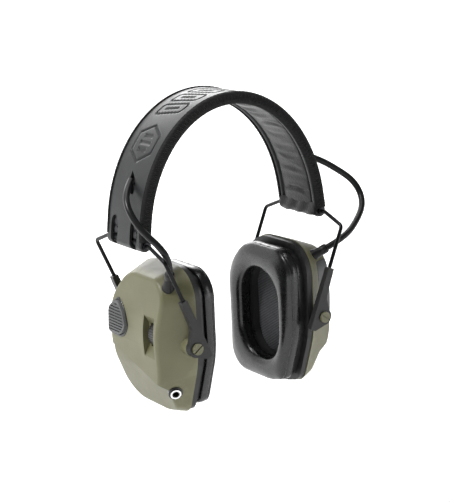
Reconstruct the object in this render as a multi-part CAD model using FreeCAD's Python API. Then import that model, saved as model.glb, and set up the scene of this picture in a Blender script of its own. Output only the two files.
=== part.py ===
import FreeCAD, Part
import math
import os
from FreeCAD import Vector

# Electronic earmuff hearing protector, millimetres.
# +X is the wearer's right, +Y the wearer's front, +Z up.
# The origin lies midway between the two ear cushions, level with the pivots the cups tilt on.

# Headband: an elliptic arch that runs on as a straight leg to a rolled end on each side.
ARCH_HALF_SPAN = 67.2
ARCH_CENTRE_Z = 61.0
ARCH_RISE = 82.3
LEG_START_Z = 74.0
BAND_WIDTH = 41.0
BINDING_WIDTH = 1.2
FLARE = 1.5
FLARE_TOP_Z = 112.0
FLARE_BOTTOM_Z = 57.0
COVER_DEPTH = 2.0
SPRING_DEPTH = 3.0
BAND_DEPTH = 7.2
SPRING_WIDTH = 34.0
FITTING_DEPTH = 1.5
RIVET_RADIUS = 1.0
RIVET_HEAD_RADIUS = 1.9
SLOT_Y = 11.0
SLOT_WIDTH = 9.0
SLOT_HEIGHT = 17.0
SLOT_Z = 67.0
CABLE_EXIT_Z = 97.3
CABLE_SLOT_RADIUS = 3.8

# Wire stirrup: one bent spring wire per side, whose cross-bar turns in the rolled end of the band.
WIRE_RADIUS = 1.2
RUNNING_GAP = 0.08
BAR_X = 64.2
BAR_Z = 61.0
BAR_HALF_LENGTH = 23.5
SHOULDER_Z = 54.7
LEG_Y = 40.0
LEG_TIP_X = 38.8
LEG_TIP_Z = -5.0
WIRE_BEND_RADIUS = 3.0
ROLL_RADIUS = 4.0
BUSH_RADIUS = 2.1

# Arms: each slides on a wire leg and carries one pivot of the cup.
ARM_INNER_Y = 38.1
ARM_OUTER_Y = 41.9
ARM_TOP_Z = 30.0
ARM_HALF_WIDTH = 1.9
LOBE_RADIUS = 5.4
PIVOT_X = 47.0
PIN_RADIUS = 2.4
PIN_HEAD_RADIUS = 3.4
PIN_HEAD_HEIGHT = 1.5
PIN_SLOT_WIDTH = 0.9

# Cup: drafted shell outside the seam plane, base plate and cushion inside it.
SEAM_X = 43.0
RIM_FACE_X = 39.2
PLATE_FACE_X = 37.0
BACKING_FACE_X = 34.8
CUSHION_FACE_X = 25.2
NECK_INSET = 5.0
CUSHION_INSET = 3.0
CUSHION_FRONT_INSET = 6.8
WALL = 2.8
RIDGE_RADIUS = 3.0
OUTER_LOOP_X = 72.0
CREASE_FACE_X = 64.0
CREASE_FRONT_Z = -0.5
CREASE_MIDDLE_Z = -15.6
CREASE_REAR_Z = -36.0
CREASE_SLOPE = 0.55
EAR_HALF_WIDTH = 20.5
EAR_HALF_HEIGHT = 29.5
EAR_CENTRE_Z = -2.5

# Volume wheel, left cup.
WHEEL_RADIUS = 9.0
WHEEL_WIDTH = 6.0
WHEEL_X = 54.3
WHEEL_Y = -16.6
WHEEL_Z = 5.3
KNURL_COUNT = 36
RECESS_HALF_WIDTH = 5.8
RECESS_LOW_Z = -10.5
RECESS_HIGH_Z = 22.5
RECESS_RAMP = 10.0
RECESS_FLOOR_X = 60.4

# Audio jack, left cup: a 3.5 mm plug goes in along its axis.
JACK_BORE_RADIUS = 1.8
JACK_BODY_RADIUS = 3.2
JACK_RING_RADIUS = 3.3
JACK_FLANGE_RADIUS = 4.3
JACK_SLEEVE_RADIUS = 2.3
JACK_DEPTH = 14.0

# Batteries, right cup: two AAA cells behind a hinged door.
CELL_RADIUS = 5.25
CELL_LENGTH = 44.5
CELL_X = 53.7
CELL_Y = 5.4
CELLS_CENTRE_Y = -6.2
CELL_BOTTOM_Z = -17.2
DOOR_WALL = 1.6
DOOR_TOP_Z = 33.0
DOOR_FRONT_Y = 7.0
DOOR_GAP = 0.35
HINGE_X = 64.6
HINGE_Z = -5.2
KNUCKLE_RADIUS = 1.7
HINGE_PIN_RADIUS = 0.8
KNUCKLE_SPANS = ((-21.0, -16.0), (-1.0, 4.0))
SHELL_KNUCKLE_SPAN = (-15.6, -1.4)

CABLE_RADIUS = 2.0
BOOT_ROOT_RADIUS = 3.1
BOOT_TIP_RADIUS = 2.5
BOOT_DEPTH = 4.0

ORIGIN = Vector(0, 0, 0)
X_AXIS = Vector(1, 0, 0)
Y_AXIS = Vector(0, 1, 0)
Z_AXIS = Vector(0, 0, 1)

# The jack's mouth and the way it faces; the place and turn of each microphone cover.
JACK_FACE = Vector(53.6, -25.4, -30.4)
JACK_WAY = Vector(0.34, -0.88, -0.33)
MIC_CENTRE = Vector(61.5, 19.0, 9.0)
MIC_YAW_DEG = 22.0
MIC_HALF_WIDTH = 11.3
MIC_GROOVE_COUNT = 10
MIC_GROOVE_PITCH = 1.8

# Where each cable's rubber boot leaves its cup and where it ends.
BOOT_ROOT = {"left": Vector(-55.1, -26.8, 35.8), "right": Vector(50.5, -28.5, 36.5)}
BOOT_TIP = {"left": Vector(-56.9, -32.4, 45.7), "right": Vector(57.6, -32.2, 40.5)}

os.makedirs("parts", exist_ok=True)


def write(node, shape):
    shape.exportStep("parts/" + node + ".step")


def mirrored(shape, side):
    """Shapes are drawn for the right side; the left one is their mirror image."""
    return shape if side == "right" else shape.mirror(ORIGIN, X_AXIS)


def box(low, high):
    size = Vector(*high) - Vector(*low)
    return Part.makeBox(size.x, size.y, size.z, Vector(*low))


def rod(start, end, radius):
    axis = end - start
    return Part.makeCylinder(radius, axis.Length, start, axis)


def ring(start, end, outer_radius, inner_radius):
    return rod(start, end, outer_radius).cut(rod(start, end, inner_radius))


def rounded_loop(corners, radii):
    """A closed wire of straight edges joined by tangent arcs, one radius for each corner."""
    edges = []
    starts = []
    ends = []
    middles = []
    for i, corner in enumerate(corners):
        back = (corners[i - 1] - corner).normalize()
        ahead = (corners[(i + 1) % len(corners)] - corner).normalize()
        half = back.getAngle(ahead) / 2
        reach = radii[i] / math.tan(half)
        bisector = (back + ahead).normalize()
        starts.append(corner + back * reach)
        ends.append(corner + ahead * reach)
        middles.append(corner + bisector * (radii[i] / math.sin(half) - radii[i]))
    for i in range(len(corners)):
        edges.append(Part.Arc(starts[i], middles[i], ends[i]).toShape())
        edges.append(Part.makeLine(ends[i], starts[(i + 1) % len(corners)]))
    return Part.Wire(edges)


def prism(wire, direction):
    return Part.Face(wire).extrude(direction)


def oval(x, half_width, half_height, centre_z, squareness=0.55):
    """A rounded rectangle across the ear axis; squareness 0 is a full oval."""
    corners = [
        Vector(x, half_width, centre_z + half_height),
        Vector(x, -half_width, centre_z + half_height),
        Vector(x, -half_width, centre_z - half_height),
        Vector(x, half_width, centre_z - half_height),
    ]
    radius = half_width * (1 - squareness * 0.3)
    return rounded_loop(corners, [radius] * 4)


# ---- Headband ------------------------------------------------------------------------------


def band_curve(depth):
    """The right half of the band's side view at a depth below its outer face."""
    across = ARCH_HALF_SPAN - depth
    rise = ARCH_RISE - depth
    centre = Vector(0, 0, ARCH_CENTRE_Z)
    ellipse = Part.Ellipse(centre + Z_AXIS * rise, centre + X_AXIS * across, centre)
    height = LEG_START_Z - ARCH_CENTRE_Z
    leg_start = Vector(across * math.sqrt(1 - (height / rise) ** 2), 0, LEG_START_Z)
    slope = (across / rise) ** 2 * height / leg_start.x
    leg_end = leg_start + Vector(slope * (LEG_START_Z - BAR_Z), 0, BAR_Z - LEG_START_Z)
    first = ellipse.parameter(centre + Z_AXIS * rise)
    last = ellipse.parameter(leg_start)
    arch = Part.ArcOfEllipse(ellipse, first, last).toShape()
    return arch, leg_start, leg_end


def band_layer(outer_depth, inner_depth, half_width):
    """Half of the band between two depths, from the crown to the cross-bar's level."""
    outer_arch, outer_leg, outer_end = band_curve(outer_depth)
    inner_arch, inner_leg, inner_end = band_curve(inner_depth)
    top_outer = Vector(0, 0, ARCH_CENTRE_Z + ARCH_RISE - outer_depth)
    top_inner = Vector(0, 0, ARCH_CENTRE_Z + ARCH_RISE - inner_depth)
    outline = [
        outer_arch,
        Part.makeLine(outer_leg, outer_end),
        Part.makeLine(outer_end, inner_end),
        Part.makeLine(inner_end, inner_leg),
        inner_arch,
        Part.makeLine(top_inner, top_outer),
    ]
    wire = Part.Wire(Part.__sortEdges__(outline))
    wire.translate(Vector(0, -half_width - FLARE, 0))
    return prism(wire, Y_AXIS * 2 * (half_width + FLARE)).common(flared(half_width))


def flared(half_width):
    """The room between the band's edges, which spread a little towards its ends."""
    corners = []
    for way in (1, -1):
        low = Vector(-5, way * (half_width + FLARE), FLARE_BOTTOM_Z)
        knee = Vector(-5, way * half_width, FLARE_TOP_Z)
        top = Vector(-5, way * half_width, 200)
        corners += [low, knee, top] if way == 1 else [top, knee, low]
    return prism(Part.makePolygon(corners + [corners[0]]), X_AXIS * 90)


def flare_at(z):
    return FLARE * (FLARE_TOP_Z - z) / (FLARE_TOP_Z - FLARE_BOTTOM_Z)


def above(z):
    return box((-10, -60, z), (100, 60, 200))


def end_slots():
    """The two openings low in the cover that show the riveted end of the spring."""
    slots = []
    for y in (-SLOT_Y, SLOT_Y):
        half_width = SLOT_WIDTH / 2
        half_height = SLOT_HEIGHT / 2
        corners = [
            Vector(60, y + half_width, SLOT_Z + half_height),
            Vector(60, y - half_width, SLOT_Z + half_height),
            Vector(60, y - half_width, SLOT_Z - half_height),
            Vector(60, y + half_width, SLOT_Z - half_height),
        ]
        slots.append(prism(rounded_loop(corners, [half_width * 0.98] * 4), X_AXIS * 15))
    return slots


def make_cover():
    half_width = BAND_WIDTH / 2 - BINDING_WIDTH
    bar = Vector(BAR_X, 0, BAR_Z)
    reach = Y_AXIS * (half_width + flare_at(BAR_Z))
    roll = ring(bar - reach, bar + reach, ROLL_RADIUS, BUSH_RADIUS + 0.1)
    roll = roll.cut(above(BAR_Z))
    cover = band_layer(0, COVER_DEPTH, half_width).fuse(roll)
    cover = cover.cut(rod(bar - Y_AXIS * 30, bar + Y_AXIS * 30, BUSH_RADIUS + 0.1))
    for slot in end_slots():
        cover = cover.cut(slot)
    inside = Vector(53, 3.0, CABLE_EXIT_Z + 3.5)
    cable_slot = rod(inside, inside + Vector(20, -9, -8), CABLE_SLOT_RADIUS)
    return cover.cut(cable_slot).removeSplitter()


def make_spring():
    spring = band_layer(COVER_DEPTH, SPRING_DEPTH, SPRING_WIDTH / 2).common(above(BAR_Z + 3.5))
    return spring.cut(rivet_holes())


def rivet_places():
    places = []
    for y in (-SLOT_Y, SLOT_Y):
        for z in (SLOT_Z - 0.5, SLOT_Z + 4.5):
            places.append(Vector(0, y, z))
    return places


def rivet_holes():
    holes = []
    for place in rivet_places():
        start = Vector(BAR_X - 6.0, place.y, place.z)
        holes.append(rod(start, start + X_AXIS * 12, RIVET_RADIUS))
    return Part.Compound(holes)


def make_fitting_plate():
    plate = band_layer(SPRING_DEPTH, SPRING_DEPTH + FITTING_DEPTH, SPRING_WIDTH / 2)
    return plate.cut(above(BAR_Z + 22))


def make_end_fitting():
    """The bush that the cross-bar turns in, with a plate that the spring is riveted to."""
    bar = Vector(BAR_X, 0, BAR_Z)
    reach = BAND_WIDTH / 2 - BINDING_WIDTH + flare_at(BAR_Z)
    fitting = make_fitting_plate().fuse(rod(bar - Y_AXIS * reach, bar + Y_AXIS * reach, BUSH_RADIUS))
    bore = rod(bar - Y_AXIS * 30, bar + Y_AXIS * 30, WIRE_RADIUS + RUNNING_GAP)
    return fitting.cut(bore).cut(rivet_holes()).removeSplitter()


def make_rivets():
    rivets = []
    for place in rivet_places():
        start = Vector(BAR_X - 6.0, place.y, place.z)
        shank = rod(start, start + X_AXIS * 12, RIVET_RADIUS)
        head = rod(start, start + X_AXIS * 12, RIVET_HEAD_RADIUS)
        shank = shank.common(band_layer(COVER_DEPTH, SPRING_DEPTH + FITTING_DEPTH, 19))
        head = head.common(band_layer(COVER_DEPTH - 0.7, COVER_DEPTH, 19))
        rivets.append(head.fuse(shank).removeSplitter())
    return Part.Compound(rivets)


def make_pad():
    half_width = BAND_WIDTH / 2 - BINDING_WIDTH
    pad = band_layer(SPRING_DEPTH, BAND_DEPTH, half_width).common(above(BAR_Z + 3.2))
    return pad.cut(make_fitting_plate())


def make_binding():
    """A cloth strip along each edge of the band."""
    strip = band_layer(0.4, BAND_DEPTH - 0.5, BAND_WIDTH / 2)
    core = band_layer(-1, BAND_DEPTH + 1, BAND_WIDTH / 2 - BINDING_WIDTH)
    return strip.cut(core).common(above(BAR_Z + 4))


# ---- Stirrup and arms ----------------------------------------------------------------------


def bent_rod(points, radius, bend_radius):
    """A round rod along straight runs with one bend radius at each inner point."""
    edges = []
    start = points[0]
    for i in range(1, len(points) - 1):
        back = (points[i - 1] - points[i]).normalize()
        ahead = (points[i + 1] - points[i]).normalize()
        half = back.getAngle(ahead) / 2
        reach = bend_radius / math.tan(half)
        bend_start = points[i] + back * reach
        bend_end = points[i] + ahead * reach
        middle = points[i] + (back + ahead).normalize() * (bend_radius / math.sin(half) - bend_radius)
        edges.append(Part.makeLine(start, bend_start))
        edges.append(Part.Arc(bend_start, middle, bend_end).toShape())
        start = bend_end
    edges.append(Part.makeLine(start, points[-1]))
    profile = Part.Wire(Part.makeCircle(radius, points[0], points[1] - points[0]))
    return Part.Wire(edges).makePipeShell([profile], True, True)


def leg_point(z, y):
    """The place on the wire leg's centreline at height z."""
    lean = (BAR_X - LEG_TIP_X) / (SHOULDER_Z - LEG_TIP_Z)
    return Vector(BAR_X - lean * (SHOULDER_Z - z), y, z)


def make_stirrup():
    points = [
        leg_point(LEG_TIP_Z, -LEG_Y),
        leg_point(SHOULDER_Z, -LEG_Y),
        Vector(BAR_X, -BAR_HALF_LENGTH, BAR_Z),
        Vector(BAR_X, BAR_HALF_LENGTH, BAR_Z),
        leg_point(SHOULDER_Z, LEG_Y),
        leg_point(LEG_TIP_Z, LEG_Y),
    ]
    return bent_rod(points, WIRE_RADIUS, WIRE_BEND_RADIUS)


def make_arm():
    """The rear arm: a sleeve along the wire, a web and the lobe round the pivot."""
    y = -ARM_OUTER_Y
    thickness = ARM_OUTER_Y - ARM_INNER_Y
    top = leg_point(ARM_TOP_Z, y)
    tip = leg_point(LEG_TIP_Z - 2, y)
    along = (tip - top).normalize()
    outward = Vector(-along.z, 0, along.x)
    outline = [
        top - outward * ARM_HALF_WIDTH,
        tip - outward * ARM_HALF_WIDTH,
        tip + outward * ARM_HALF_WIDTH,
        Vector(PIVOT_X + 1.0, y, -LOBE_RADIUS + 0.2),
        Vector(PIVOT_X + 4.2, y, 3.4),
        leg_point(13, y) + outward * (ARM_HALF_WIDTH + 1.2),
        top + outward * (ARM_HALF_WIDTH + 0.4),
    ]
    radii = [0.6, 0.8, 0.8, 0.8, 0.8, 8.0, 0.6]
    blade = prism(rounded_loop(outline, radii), Y_AXIS * thickness)
    pivot = Vector(PIVOT_X, y, 0)
    lobe = rod(pivot, pivot + Y_AXIS * thickness, LOBE_RADIUS)
    arm = blade.fuse(lobe).removeSplitter()
    bore_top = leg_point(ARM_TOP_Z + 6, -LEG_Y)
    wire_bore = rod(bore_top, leg_point(LEG_TIP_Z - 8, -LEG_Y), WIRE_RADIUS + RUNNING_GAP)
    pin_bore = rod(pivot - Y_AXIS, pivot + Y_AXIS * 10, PIN_RADIUS + RUNNING_GAP)
    return arm.cut(wire_bore).cut(pin_bore)


def make_pivot_pins():
    pins = []
    for way in (-1, 1):
        outward = Y_AXIS * way
        root = Vector(PIVOT_X, 0, 0) + outward * 33.2
        collar = Vector(PIVOT_X, 0, 0) + outward * (ARM_OUTER_Y + 0.15)
        head = rod(collar, collar + outward * PIN_HEAD_HEIGHT, PIN_HEAD_RADIUS)
        shank = rod(root, collar, PIN_RADIUS)
        slot = Part.makeBox(20, 2, PIN_SLOT_WIDTH, Vector(-10, -1, -PIN_SLOT_WIDTH / 2))
        slot.rotate(ORIGIN, Y_AXIS, 35)
        slot.translate(collar + outward * (PIN_HEAD_HEIGHT + 0.2))
        pins.append(head.fuse(shank).cut(slot).removeSplitter())
    return Part.Compound(pins)


# ---- Cup shell -----------------------------------------------------------------------------


# The cup's outline, facet by facet: at the seam and at the outer loop, the direction of the
# facet's normal from +Y in degrees, its distance from the ear axis and the next corner's radius.
CUP_FACETS = (
    ((45, 43.4, 29), (45, 31.8, 19)),
    ((90, 45.5, 19), (90, 34.9, 10)),
    ((180, 36.6, 60), (184, 22.0, 14)),
    ((200, 37.9, 10), (203, 27.3, 5)),
    ((256, 49.1, 40), (256, 38.5, 29)),
    ((270, 48.7, 18), (270, 38.1, 8)),
    ((360, 37.0, 32), (360, 26.4, 21)),
)


def facet_loop(x, facets, shrink):
    """A closed loop of straight facets and round corners across the ear axis."""
    corners = []
    for i, (angle, distance, _) in enumerate(facets):
        next_angle, next_distance, _ = facets[(i + 1) % len(facets)]
        a = math.radians(angle)
        b = math.radians(next_angle)
        p = distance - shrink
        q = next_distance - shrink
        turn = math.sin(b - a)
        y = (p * math.sin(b) - q * math.sin(a)) / turn
        z = (q * math.cos(a) - p * math.cos(b)) / turn
        corners.append(Vector(x, y, z))
    return rounded_loop(corners, [max(radius - shrink, 1.5) for _, _, radius in facets])


def cup_outline(x, shrink):
    """The outline that the plates and the cushion share, drawn in evenly by shrink."""
    return facet_loop(x, [seam for seam, _ in CUP_FACETS], shrink)


# Corners of the cup's side view and their radii. The upper face runs on past the crease; the
# lower one falls away behind it.
UPPER_FACE = ((54.2, 70, 1), (65.4, 6, 70), (61.6, -60, 1))
LOWER_FACE = ((54.2, 70, 1), (65.4, 6, 40), (62.6, -16, 30), (43.6, -58, 1))


def face_profile(side_view, inset):
    corners = [Vector(30, -80, 70)]
    radii = [1]
    for x, z, radius in side_view:
        corners.append(Vector(x - inset * 1.05, -80, z))
        radii.append(radius)
    corners.append(Vector(30, -80, side_view[-1][1]))
    return prism(rounded_loop(corners, radii + [1]), Y_AXIS * 160)


def cup_body(inset, ridge_radius=0, side_view=UPPER_FACE):
    """The solid cup outside the seam plane, with every wall moved in by inset."""
    seam_loop = cup_outline(SEAM_X, inset)
    outer_loop = facet_loop(OUTER_LOOP_X, [outer for _, outer in CUP_FACETS], inset)
    body = Part.makeLoft([seam_loop, outer_loop], True, True)
    body = body.common(face_profile(side_view, inset))
    if ridge_radius == 0:
        return body
    ridge = []
    for edge in body.Edges:
        inside = edge.BoundBox.XMin > SEAM_X + 0.5
        crosses_face = edge.BoundBox.YLength > 1 or edge.BoundBox.ZLength > 1
        runs_inward = edge.BoundBox.XLength > 14 and edge.BoundBox.XMin < SEAM_X + 1
        if inside and crosses_face and not runs_inward:
            face_count = len(body.ancestorsOfType(edge, Part.Face))
            if face_count == 2 and is_sharp(body, edge):
                ridge.append(edge)
    return body.makeFillet(ridge_radius, ridge)


def is_sharp(body, edge):
    """True where the two faces beside an edge meet at more than 12 degrees."""
    first, second = body.ancestorsOfType(edge, Part.Face)
    place = edge.valueAt((edge.FirstParameter + edge.LastParameter) / 2)
    normals = []
    for face in (first, second):
        u, v = face.Surface.parameter(place)
        normals.append(face.normalAt(u, v))
    return math.degrees(normals[0].getAngle(normals[1])) > 12


def crease_zone():
    """Everything below the crease, whose ledge slopes down towards the seam."""
    start_x = SEAM_X - 1
    drop = CREASE_SLOPE * (CREASE_FACE_X - start_x)
    start = Vector(start_x, 60, CREASE_FRONT_Z - drop)
    middle = Vector(start_x, 4, CREASE_MIDDLE_Z - drop)
    end = Vector(start_x, -60, CREASE_REAR_Z - drop)
    crease = Part.Arc(start, middle, end).toShape()
    low_back = Vector(start_x, -60, -150)
    low_front = Vector(start_x, 60, -150)
    sides = [
        Part.makeLine(end, low_back),
        Part.makeLine(low_back, low_front),
        Part.makeLine(low_front, start),
    ]
    return prism(Part.Wire([crease] + sides), Vector(40, 0, 40 * CREASE_SLOPE))


def post_places():
    """Four posts inside the cup that the base plate is screwed to."""
    return [Vector(0, y, z) for y, z in ((-22, 34.5), (13, 34.5), (-15.5, -37.5), (19, -37.5))]


def make_shell_blank():
    """The drafted shell with its crease, hollow inside, with screw posts and pivot bosses."""
    upper = cup_body(0, RIDGE_RADIUS)
    lower = cup_body(0, RIDGE_RADIUS, LOWER_FACE)
    zone = crease_zone()
    outer = upper.cut(zone).fuse(lower.common(zone)).removeSplitter()
    shell = outer.cut(cup_body(WALL, 0, LOWER_FACE))
    for place in post_places():
        start = Vector(SEAM_X + 0.1, place.y, place.z)
        shell = shell.fuse(rod(start, start + X_AXIS * 18, 3.0).common(outer))
    for way in (-1, 1):
        boss_start = Vector(PIVOT_X, way * 31.0, 0)
        boss = rod(boss_start, Vector(PIVOT_X, way * (ARM_INNER_Y - 0.3), 0), 5.2)
        shell = shell.fuse(boss.common(box((SEAM_X, -60, -20), (80, 60, 20))))
        pin_start = Vector(PIVOT_X, way * 33.2, 0)
        shell = shell.cut(rod(pin_start, pin_start + Y_AXIS * way * 10, PIN_RADIUS))
    for place in post_places():
        start = Vector(SEAM_X, place.y, place.z)
        shell = shell.cut(rod(start, start + X_AXIS * 4.2, 1.2))
    return shell, outer


def microphone_outline(grow):
    """A leaf with its point upwards, seen square to the cup's front ridge."""
    tip = Vector(0, 0, 11.4 + grow * 1.6)
    right = Vector(0, MIC_HALF_WIDTH + grow, -1.8)
    left = Vector(0, -MIC_HALF_WIDTH - grow, -1.8)
    bottom = Vector(0, 0, -9.6 - grow)
    shoulder_y = MIC_HALF_WIDTH * 0.62 + grow
    foot_y = MIC_HALF_WIDTH * 0.66 + grow * 0.7
    foot_z = -7.9 - grow * 0.7
    return [
        Part.Arc(left, Vector(0, -shoulder_y, 6.2), tip).toShape(),
        Part.Arc(tip, Vector(0, shoulder_y, 6.2), right).toShape(),
        Part.Arc(right, Vector(0, foot_y, foot_z), bottom).toShape(),
        Part.Arc(bottom, Vector(0, -foot_y, foot_z), left).toShape(),
    ]


def microphone_column(grow):
    column = prism(Part.Wire(microphone_outline(grow)), X_AXIS * 30)
    column.translate(X_AXIS * -8)
    column.rotate(ORIGIN, Z_AXIS, MIC_YAW_DEG)
    column.translate(MIC_CENTRE)
    return column


def make_microphone_cover():
    skin = cup_body(-1.5, RIDGE_RADIUS + 1.0).cut(cup_body(1.2, RIDGE_RADIUS - 1.2))
    cover = skin.common(microphone_column(0))
    for i in range(MIC_GROOVE_COUNT):
        z = MIC_CENTRE.z - 7.8 + i * MIC_GROOVE_PITCH
        groove = box((40, 0, z), (80, 45, z + 0.8)).cut(cup_body(-0.8, RIDGE_RADIUS))
        cover = cover.cut(groove.common(microphone_column(-1.3)))
    return cover


def make_microphone():
    inward = Vector(-math.cos(math.radians(MIC_YAW_DEG)), -math.sin(math.radians(MIC_YAW_DEG)), 0)
    start = MIC_CENTRE + inward * 3.2
    return rod(start, start + inward * 5.0, 4.2)


def make_boot(side):
    """A tapered rubber sleeve that passes through the shell's wall."""
    way = (BOOT_TIP[side] - BOOT_ROOT[side]).normalize()
    start = BOOT_ROOT[side] - way * BOOT_DEPTH
    length = BOOT_TIP[side].distanceToPoint(start)
    return Part.makeCone(BOOT_ROOT_RADIUS, BOOT_TIP_RADIUS, length, start, way)


def recess_tool():
    """A finger recess with ramped top and bottom, and the slit that the wheel stands in."""
    outline = [
        Vector(RECESS_FLOOR_X, 0, RECESS_LOW_Z + RECESS_RAMP),
        Vector(RECESS_FLOOR_X + 6, 0, RECESS_LOW_Z),
        Vector(RECESS_FLOOR_X + 6, 0, RECESS_HIGH_Z),
        Vector(RECESS_FLOOR_X, 0, RECESS_HIGH_Z - RECESS_RAMP),
    ]
    wire = Part.makePolygon(outline + [outline[0]])
    wire.translate(Y_AXIS * (WHEEL_Y - RECESS_HALF_WIDTH))
    recess = prism(wire, Y_AXIS * 2 * RECESS_HALF_WIDTH)
    half_slit = WHEEL_WIDTH / 2 + 0.6
    start = Vector(WHEEL_X, WHEEL_Y - half_slit, WHEEL_Z)
    slit = rod(start, start + Y_AXIS * 2 * half_slit, WHEEL_RADIUS + 0.6)
    return recess.fuse(slit)


def make_wheel():
    """A knurled thumb wheel with its own short shaft."""
    start = Vector(WHEEL_X, WHEEL_Y - WHEEL_WIDTH / 2, WHEEL_Z)
    wheel = rod(start, start + Y_AXIS * WHEEL_WIDTH, WHEEL_RADIUS)
    for i in range(KNURL_COUNT):
        angle = 2 * math.pi * i / KNURL_COUNT
        offset = Vector(math.cos(angle), 0, math.sin(angle)) * (WHEEL_RADIUS + 0.1)
        wheel = wheel.cut(rod(start + offset - Y_AXIS, start + offset + Y_AXIS * (WHEEL_WIDTH + 1), 0.45))
    shaft_start = start + Y_AXIS * WHEEL_WIDTH
    return wheel.fuse(rod(shaft_start, shaft_start + Y_AXIS * 3.4, 1.5)).removeSplitter()


def make_potentiometer():
    y = WHEEL_Y + WHEEL_WIDTH / 2 + 0.8
    body = box((WHEEL_X - 5, y, WHEEL_Z - 5), (WHEEL_X + 4, y + 3.4, WHEEL_Z + 5))
    shaft = Vector(WHEEL_X, y - 1, WHEEL_Z)
    return body.cut(rod(shaft, shaft + Y_AXIS * 6, 1.5 + RUNNING_GAP))


def jack_point(depth):
    """A point on the jack's axis, depth below its mouth."""
    return JACK_FACE + Vector(JACK_WAY).normalize() * (0.9 - depth)


def make_jack():
    body = rod(jack_point(JACK_DEPTH + 1.5), jack_point(0.9), JACK_BODY_RADIUS)
    flange = rod(jack_point(2.9), jack_point(0.9), JACK_FLANGE_RADIUS)
    sleeve = rod(jack_point(1.0), jack_point(0), JACK_SLEEVE_RADIUS)
    bore = rod(jack_point(JACK_DEPTH), jack_point(-1), JACK_BORE_RADIUS)
    return body.fuse(flange).fuse(sleeve).removeSplitter().cut(bore)


def make_jack_ring():
    return ring(jack_point(0.9), jack_point(-0.2), JACK_RING_RADIUS, JACK_SLEEVE_RADIUS)


def make_left_shell(blank, outer):
    pocket = box(
        (RECESS_FLOOR_X - 1.6, WHEEL_Y - RECESS_HALF_WIDTH - 1.6, RECESS_LOW_Z),
        (80, WHEEL_Y + RECESS_HALF_WIDTH + 1.6, RECESS_HIGH_Z),
    )
    shell = blank.fuse(pocket.common(outer)).cut(recess_tool())
    jack_hole = rod(jack_point(20), jack_point(2.9), JACK_BODY_RADIUS + 0.1)
    jack_seat = rod(jack_point(2.9), jack_point(-8), JACK_FLANGE_RADIUS + 0.1)
    shell = shell.fuse(rod(jack_point(6), jack_point(1.6), JACK_FLANGE_RADIUS + 1.4).common(outer))
    return shell.cut(jack_hole).cut(jack_seat)


# ---- Cup internals -------------------------------------------------------------------------


def outline_plate(x, thickness, shrink):
    return prism(cup_outline(x, shrink), X_AXIS * thickness)


def make_base_plate():
    plate = outline_plate(RIM_FACE_X, SEAM_X - RIM_FACE_X, 0.7)
    plate = plate.fuse(outline_plate(PLATE_FACE_X, RIM_FACE_X - PLATE_FACE_X, NECK_INSET))
    plate = plate.cut(outline_plate(PLATE_FACE_X + 2, 10, NECK_INSET + 2.0))
    lip = prism(oval(PLATE_FACE_X, EAR_HALF_WIDTH + 2, EAR_HALF_HEIGHT + 2, EAR_CENTRE_Z), X_AXIS * 4.4)
    hole = prism(oval(PLATE_FACE_X - 1, EAR_HALF_WIDTH, EAR_HALF_HEIGHT, EAR_CENTRE_Z), X_AXIS * 12)
    plate = plate.fuse(lip).cut(hole)
    for place in post_places():
        start = Vector(PLATE_FACE_X, place.y, place.z)
        seat = rod(start, start + X_AXIS * (SEAM_X - PLATE_FACE_X), 3.6)
        plate = plate.fuse(seat)
        plate = plate.cut(rod(start, start + X_AXIS * 8, 1.3)).cut(rod(start, start + X_AXIS * 2, 2.6))
    return plate.removeSplitter()


def make_shell_screws():
    screws = []
    for place in post_places():
        start = Vector(PLATE_FACE_X + 0.3, place.y, place.z)
        head = rod(start, start + X_AXIS * 1.7, 2.4)
        shank = rod(start + X_AXIS * 1.7, start + X_AXIS * 9.7, 1.2)
        cross_high = (start.x + 0.8, place.y + 0.3, place.z + 1.4)
        cross = box((start.x - 1, place.y - 0.3, place.z - 1.4), cross_high)
        turned = cross.copy()
        turned.rotate(start, X_AXIS, 90)
        screws.append(head.fuse(shank).cut(cross).cut(turned).removeSplitter())
    return Part.Compound(screws)


def make_cushion_backing():
    backing = outline_plate(BACKING_FACE_X, PLATE_FACE_X - BACKING_FACE_X - 0.1, NECK_INSET)
    hole = prism(oval(BACKING_FACE_X - 1, EAR_HALF_WIDTH, EAR_HALF_HEIGHT, EAR_CENTRE_Z), X_AXIS * 6)
    return backing.cut(hole)


def make_cushion():
    """A soft ring that seals round the ear; it narrows a little towards the head."""
    depth = BACKING_FACE_X - 0.1
    middle = cup_outline(depth - 5, CUSHION_INSET)
    front = cup_outline(CUSHION_FACE_X, CUSHION_FRONT_INSET)
    back = cup_outline(depth, CUSHION_INSET)
    near = Part.makeLoft([front, middle], True, True)
    far = Part.makeLoft([middle, back], True, True)
    hole = prism(oval(CUSHION_FACE_X - 1, EAR_HALF_WIDTH, EAR_HALF_HEIGHT, EAR_CENTRE_Z), X_AXIS * 12)
    return near.fuse(far).removeSplitter().cut(hole)


def make_mesh_liner():
    return prism(oval(41.5, EAR_HALF_WIDTH + 1.5, EAR_HALF_HEIGHT + 1.5, EAR_CENTRE_Z), X_AXIS * 0.8)


def make_foam_liner():
    return prism(oval(42.4, EAR_HALF_WIDTH + 1.5, EAR_HALF_HEIGHT + 1.5, EAR_CENTRE_Z), X_AXIS * 2.2)


def make_speaker():
    centre = Vector(44.8, 4.0, 0)
    basket = rod(centre, centre + X_AXIS * 2.4, 14.0)
    magnet = rod(centre + X_AXIS * 2.4, centre + X_AXIS * 3.1, 7.5)
    return basket.fuse(magnet).removeSplitter()


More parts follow.
